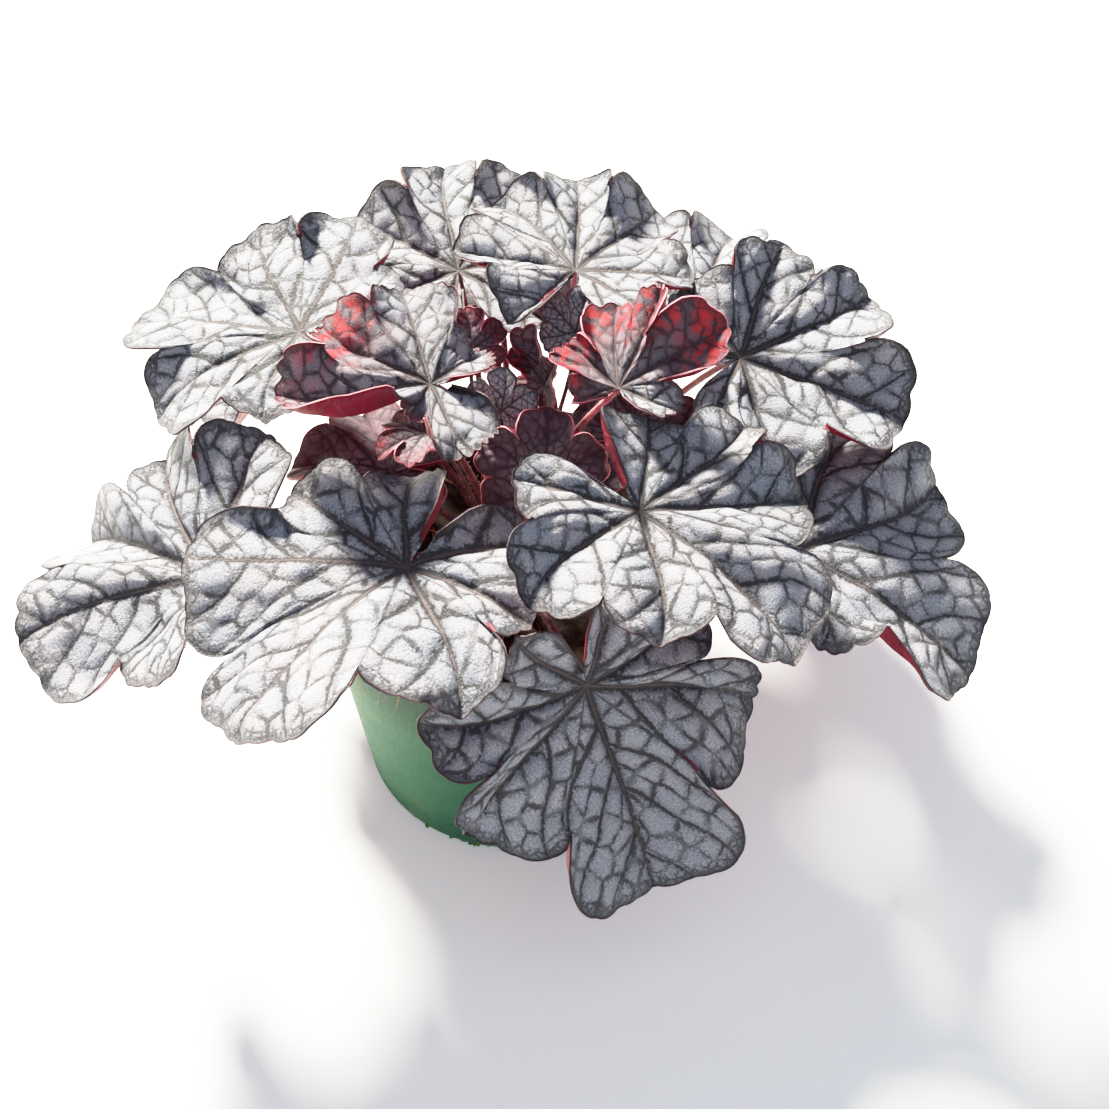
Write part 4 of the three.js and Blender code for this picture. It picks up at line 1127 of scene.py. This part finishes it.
def make_pot():
    points, faces = lathe(pot_profile(), 180)
    turns = [2 * math.pi * (i + 0.5) / CHANNEL["count"] for i in range(CHANNEL["count"])]
    for turn in turns:
        raise_channel(points, turn)
    piece = build_mesh("fine_pot", points, faces, [pot_skin()])
    cutters = []
    for turn in turns:
        x, y = HOLE["distance"] * math.cos(turn), HOLE["distance"] * math.sin(turn)
        bore = tube([(x, y, z) for z in (-2, 1, 7)], [HOLE["radius"]] * 3, 28)
        cutters.append(build_mesh("cutter", *bore, []))
    drill(piece, cutters)
    sharpen(piece.data)
    declare(piece, "pot")


make_pot()

# ---------------------------------------------------------------- soil, crown and litter

FIT = 0.45  # the soil's clearance in the pot
MOSS = dict(seed=41, count=190, front=-1.45, spread=0.75, size=(0.5, 1.5))
ROOTS = dict(seed=7, count=46, over_rim=9, front=-2.0, steps=14, length=(14, 34),
             thickness=(0.22, 0.5))


def lumps(points, scale, octaves=4, seed=0.0):
    """Fractal noise from -1 to 1 at each point, scale in millimetres."""
    places = [Vector((x / scale + seed, y / scale, z / scale)) for x, y, z in points]
    return np.array([noise.fractal(place, 1.0, 2.0, octaves) for place in places])


def soil_skin():
    graph = Shader("potting_mix", roughness=0.95, specular=0.25)
    place = graph.position()
    clod = graph.noise(place, 0.35, 5, 0.7)
    fiber = graph.noise(place, 1.6, 4, 0.7)
    color = graph.fade(clod, 0.35, 0.7, "soil", "soil_light")
    color = graph.mix(graph.ramp(fiber, 0.62, 0.74) * 0.7, color, "fiber")
    return graph.finish(color, None, clod * 1.4 + fiber * 0.5)


def make_soil():
    inside = wall_radius(SOIL_TOP) - POT["wall"] - FIT
    shoulder = POT["rounding"] + 4.4
    profile = [(0, POT["floor"] + 0.35), (FOOT_RADIUS - 0.4, POT["floor"] + 0.35),
               (wall_radius(shoulder) - POT["wall"] - FIT, shoulder), (inside, SOIL_TOP - 4)]
    profile += [(r, SOIL_TOP) for r in np.linspace(inside, 1.2, 54)] + [(0, SOIL_TOP)]
    points, faces = lathe(profile, 150)
    top = points[:, 2] > SOIL_TOP - 1
    height = 1.5 * lumps(points[top], 9, 5) + 0.8 * lumps(points[top], 2.6, 3, 40.0)
    radius = np.hypot(points[top, 0], points[top, 1])
    points[top, 2] += np.clip(height, -1.8, 2.2) - 0.8 * smoothstep(inside - 8, inside, radius)
    declare(build_mesh("fine_soil", points, faces, [soil_skin()]), "soil")


def crown_skin():
    graph = Shader("woody_crown", roughness=0.85, specular=0.3)
    place = graph.position()
    bark = graph.noise(place, 0.5, 5, 0.65)
    color = graph.fade(bark, 0.35, 0.65, "bark", "bark_light")
    color = graph.fade(graph.noise(place, 0.18), 0.55, 0.7, color, "sheath")
    return graph.finish(color, None, bark * 1.2)


def make_crown(turns=72, rows=40):
    """The knobbly woody stock, flat where it ends in the soil."""
    points, faces = [], []
    for angle in np.linspace(0.02, math.pi - 0.02, rows):
        for k in range(turns):
            turn = 2 * math.pi * k / turns
            points.append((math.sin(angle) * math.cos(turn), math.sin(angle) * math.sin(turn),
                           math.cos(angle)))
    points = np.array(points)
    radius = CROWN["radius"] - 0.4
    points = points * radius * (1 + 0.06 * lumps(points * 40, 12))[:, None]
    points[:, 2] = np.maximum(points[:, 2], CROWN["bottom"] - CROWN["center"][2])
    points += CROWN["center"]
    for i in range(rows - 1):
        for k in range(turns):
            a, b = i * turns + k, i * turns + (k + 1) % turns
            faces += [(a, a + turns, b + turns), (a, b + turns, b)]
    points = np.vstack([points, CROWN["center"] + (0, 0, radius), (0, 0, CROWN["bottom"])])
    top, bottom, last = rows * turns, rows * turns + 1, (rows - 1) * turns
    for k in range(turns):
        faces.append((top, k, (k + 1) % turns))
        faces.append((bottom, last + (k + 1) % turns, last + k))
    declare(build_mesh("fine_crown", points, faces, [crown_skin()]), "crown")


def moss_skin():
    graph = Shader("moss", roughness=0.9, specular=0.2)
    place = graph.position()
    color = graph.fade(graph.noise(place, 0.5, 4, 0.7), 0.3, 0.7, "moss", "moss_light")
    return graph.finish(color, None, graph.noise(place, 2.5, 3) * 0.5)


def make_moss():
    """Small cushions of moss round the foot, thickest to the front, where it is damp."""
    random = np.random.default_rng(MOSS["seed"])
    ball = bmesh.new()
    bmesh.ops.create_icosphere(ball, subdivisions=2, radius=1)
    shape = np.array([v.co[:] for v in ball.verts])
    shape_faces = np.array([[v.index for v in f.verts] for f in ball.faces])
    ball.free()
    rounding, cushions = POT["rounding"], []
    for _ in range(MOSS["count"]):
        if random.random() < 0.75:
            turn = random.normal(MOSS["front"], MOSS["spread"])
        else:
            turn = random.uniform(0, 2 * math.pi)
        z = abs(random.normal(0, 1.6)) + 0.5
        size = random.uniform(*MOSS["size"])
        z = max(z, size * 0.75)
        radius = FOOT_RADIUS + math.sqrt(max(0, rounding ** 2 - (rounding - min(z, rounding)) ** 2))
        lump = shape * (1 + 0.25 * random.normal(size=(len(shape), 1))) * (size, size, size * 0.7)
        cushions.append((lump + (radius * math.cos(turn), radius * math.sin(turn), z), shape_faces))
    points, faces = joined(cushions)
    points[:, 2] = np.maximum(points[:, 2], 0.05)
    declare(build_mesh("moss", points, faces, [moss_skin()]))


def straw_skin():
    graph = Shader("dry_roots", roughness=0.8, specular=0.3)
    streak = graph.noise(graph.position(), 0.6, 3)
    color = graph.fade(streak, 0.35, 0.65, "straw", "straw_light")
    return graph.finish(color, None, streak * 0.3)


def root_over_rim(random, turn, length, travel):
    """From the soil up the inside of the rim, over it and down outside."""
    rim, bed = POT["top"], SOIL_TOP + 2
    radius = rim - random.uniform(8, 16) + length * travel
    climb = (POT["height"] - SOIL_TOP + 0.3) * smoothstep(rim - 3.2, rim - 0.5, radius)
    drop = np.maximum(0, radius - (rim + 2.2))
    z = bed + np.where(radius < rim - 3, 0, climb) - drop * 1.1
    radius = np.minimum(radius, rim + 2.2) + 0.12 * drop
    angle = turn + 0.12 * travel * random.normal()
    return np.stack([radius * np.cos(angle), radius * np.sin(angle), z], 1)


def root_on_soil(random, turn, length, travel):
    """A curved root that lies on the soil and stays inside the rim."""
    radius = random.uniform(28, 64)
    heading = random.uniform(0, 2 * math.pi)
    middle = np.array([0, 0, SOIL_TOP + 1.6]) + (radius * math.cos(turn), radius * math.sin(turn), 0)
    direction = heading + random.normal(scale=0.9) * travel
    steps = np.stack([np.cos(direction), np.sin(direction), 0.1 * np.sin(travel * 9)], 1)
    path = middle + np.cumsum(steps, axis=0) * length / len(travel)
    out = np.hypot(path[:, 0], path[:, 1])
    path[:, :2] *= np.minimum(1, (wall_radius(SOIL_TOP) - 4) / out)[:, None]
    return path


def make_roots():
    """Dry roots and straw on the soil and over the rim at the front left."""
    random = np.random.default_rng(ROOTS["seed"])
    steps, roots = ROOTS["steps"], []
    travel = np.linspace(0, 1, steps)
    for index in range(ROOTS["count"]):
        over_rim = index < ROOTS["over_rim"]
        turn = random.normal(ROOTS["front"], 0.22) if over_rim else random.uniform(-math.pi, math.pi)
        length = random.uniform(*ROOTS["length"])
        path = (root_over_rim if over_rim else root_on_soil)(random, turn, length, travel)
        path = path + np.cumsum(random.normal(scale=0.16, size=(steps, 3)), axis=0) * (1, 1, 0.4)
        roots.append(tube(path, random.uniform(*ROOTS["thickness"]) * (1 - 0.7 * travel), 6))
    declare(build_mesh("dry_roots", *joined(roots), [straw_skin()]))


make_soil()
make_crown()
make_moss()
make_roots()

# ---------------------------------------------------------------- floor, light and camera

FLOOR = dict(reach=4000, top=-0.2, glow=0.25)


def floor_paper():
    """White paper that glows faintly, so that the plant's shadow on it stays pale."""
    graph = Shader("studio_floor", roughness=0.8, specular=0.2)
    graph.put(graph.surface["Emission Color"], "paper_glow")
    graph.put(graph.surface["Emission Strength"], FLOOR["glow"])
    return graph.finish("paper")


corners = [(x * FLOOR["reach"], y * FLOOR["reach"], FLOOR["top"])
           for x, y in ((-1, -1), (1, -1), (1, 1), (-1, 1))]
build_mesh("floor", corners, [(0, 1, 2, 3)], [floor_paper()])


def place_and_aim(name, data, location, target):
    thing = bpy.data.objects.new(name, data)
    thing.location = location
    bpy.context.scene.collection.objects.link(thing)
    direction = Vector(target) - thing.location
    thing.rotation_euler = direction.to_track_quat("-Z", "Y").to_euler()
    return thing


def area_light(name, location, size, power, color):
    """A round lamp that shines at the plant, in metres and watts."""
    lamp = bpy.data.lights.new(name, "AREA")
    lamp.shape = "DISK"
    lamp.size = size
    lamp.energy = power
    lamp.color = color
    place_and_aim(name, lamp, location, (0, 0, 0.15))


area_light("key", (-0.84, 1.58, 1.55), 0.36, 430, (1.0, 0.955, 0.8))
area_light("soft_top", (0.3, -0.9, 2.2), 1.8, 12, (0.82, 0.9, 1.0))

world = bpy.data.worlds.new("studio")
world.use_nodes = True
sky = world.node_tree.nodes["Background"].inputs
sky["Color"].default_value = (0.8, 0.88, 1.0, 1)
sky["Strength"].default_value = 0.5
bpy.context.scene.world = world

# The film holds the sunlit silver just short of white, as a shoulder over the plain response.
WHITE = 3.0
view = bpy.context.scene.view_settings
view.view_transform = "Standard"
view.use_curve_mapping = True
view.curve_mapping.white_level = (WHITE, WHITE, WHITE)
shoulder = view.curve_mapping.curves[3]
for light, tone in ((0.3, 0.3), (0.6, 0.57), (1.0, 0.8), (1.6, 0.92), (2.3, 0.98)):
    shoulder.points.new(light / WHITE, tone)
view.curve_mapping.update()

TARGET = Vector((0.0189, 0, 0.1224))
ELEVATION = math.radians(50)
DISTANCE = 0.8
FOCAL_PIXELS, FRAME_PIXELS, SENSOR = 2054, 1109, 36
lens = bpy.data.cameras.new("camera")
lens.sensor_width = SENSOR
lens.lens = FOCAL_PIXELS / FRAME_PIXELS * SENSOR
lens.clip_start = 0.01
stand = TARGET + DISTANCE * Vector((0, -math.cos(ELEVATION), math.sin(ELEVATION)))
bpy.context.scene.camera = place_and_aim("camera", lens, stand, TARGET)
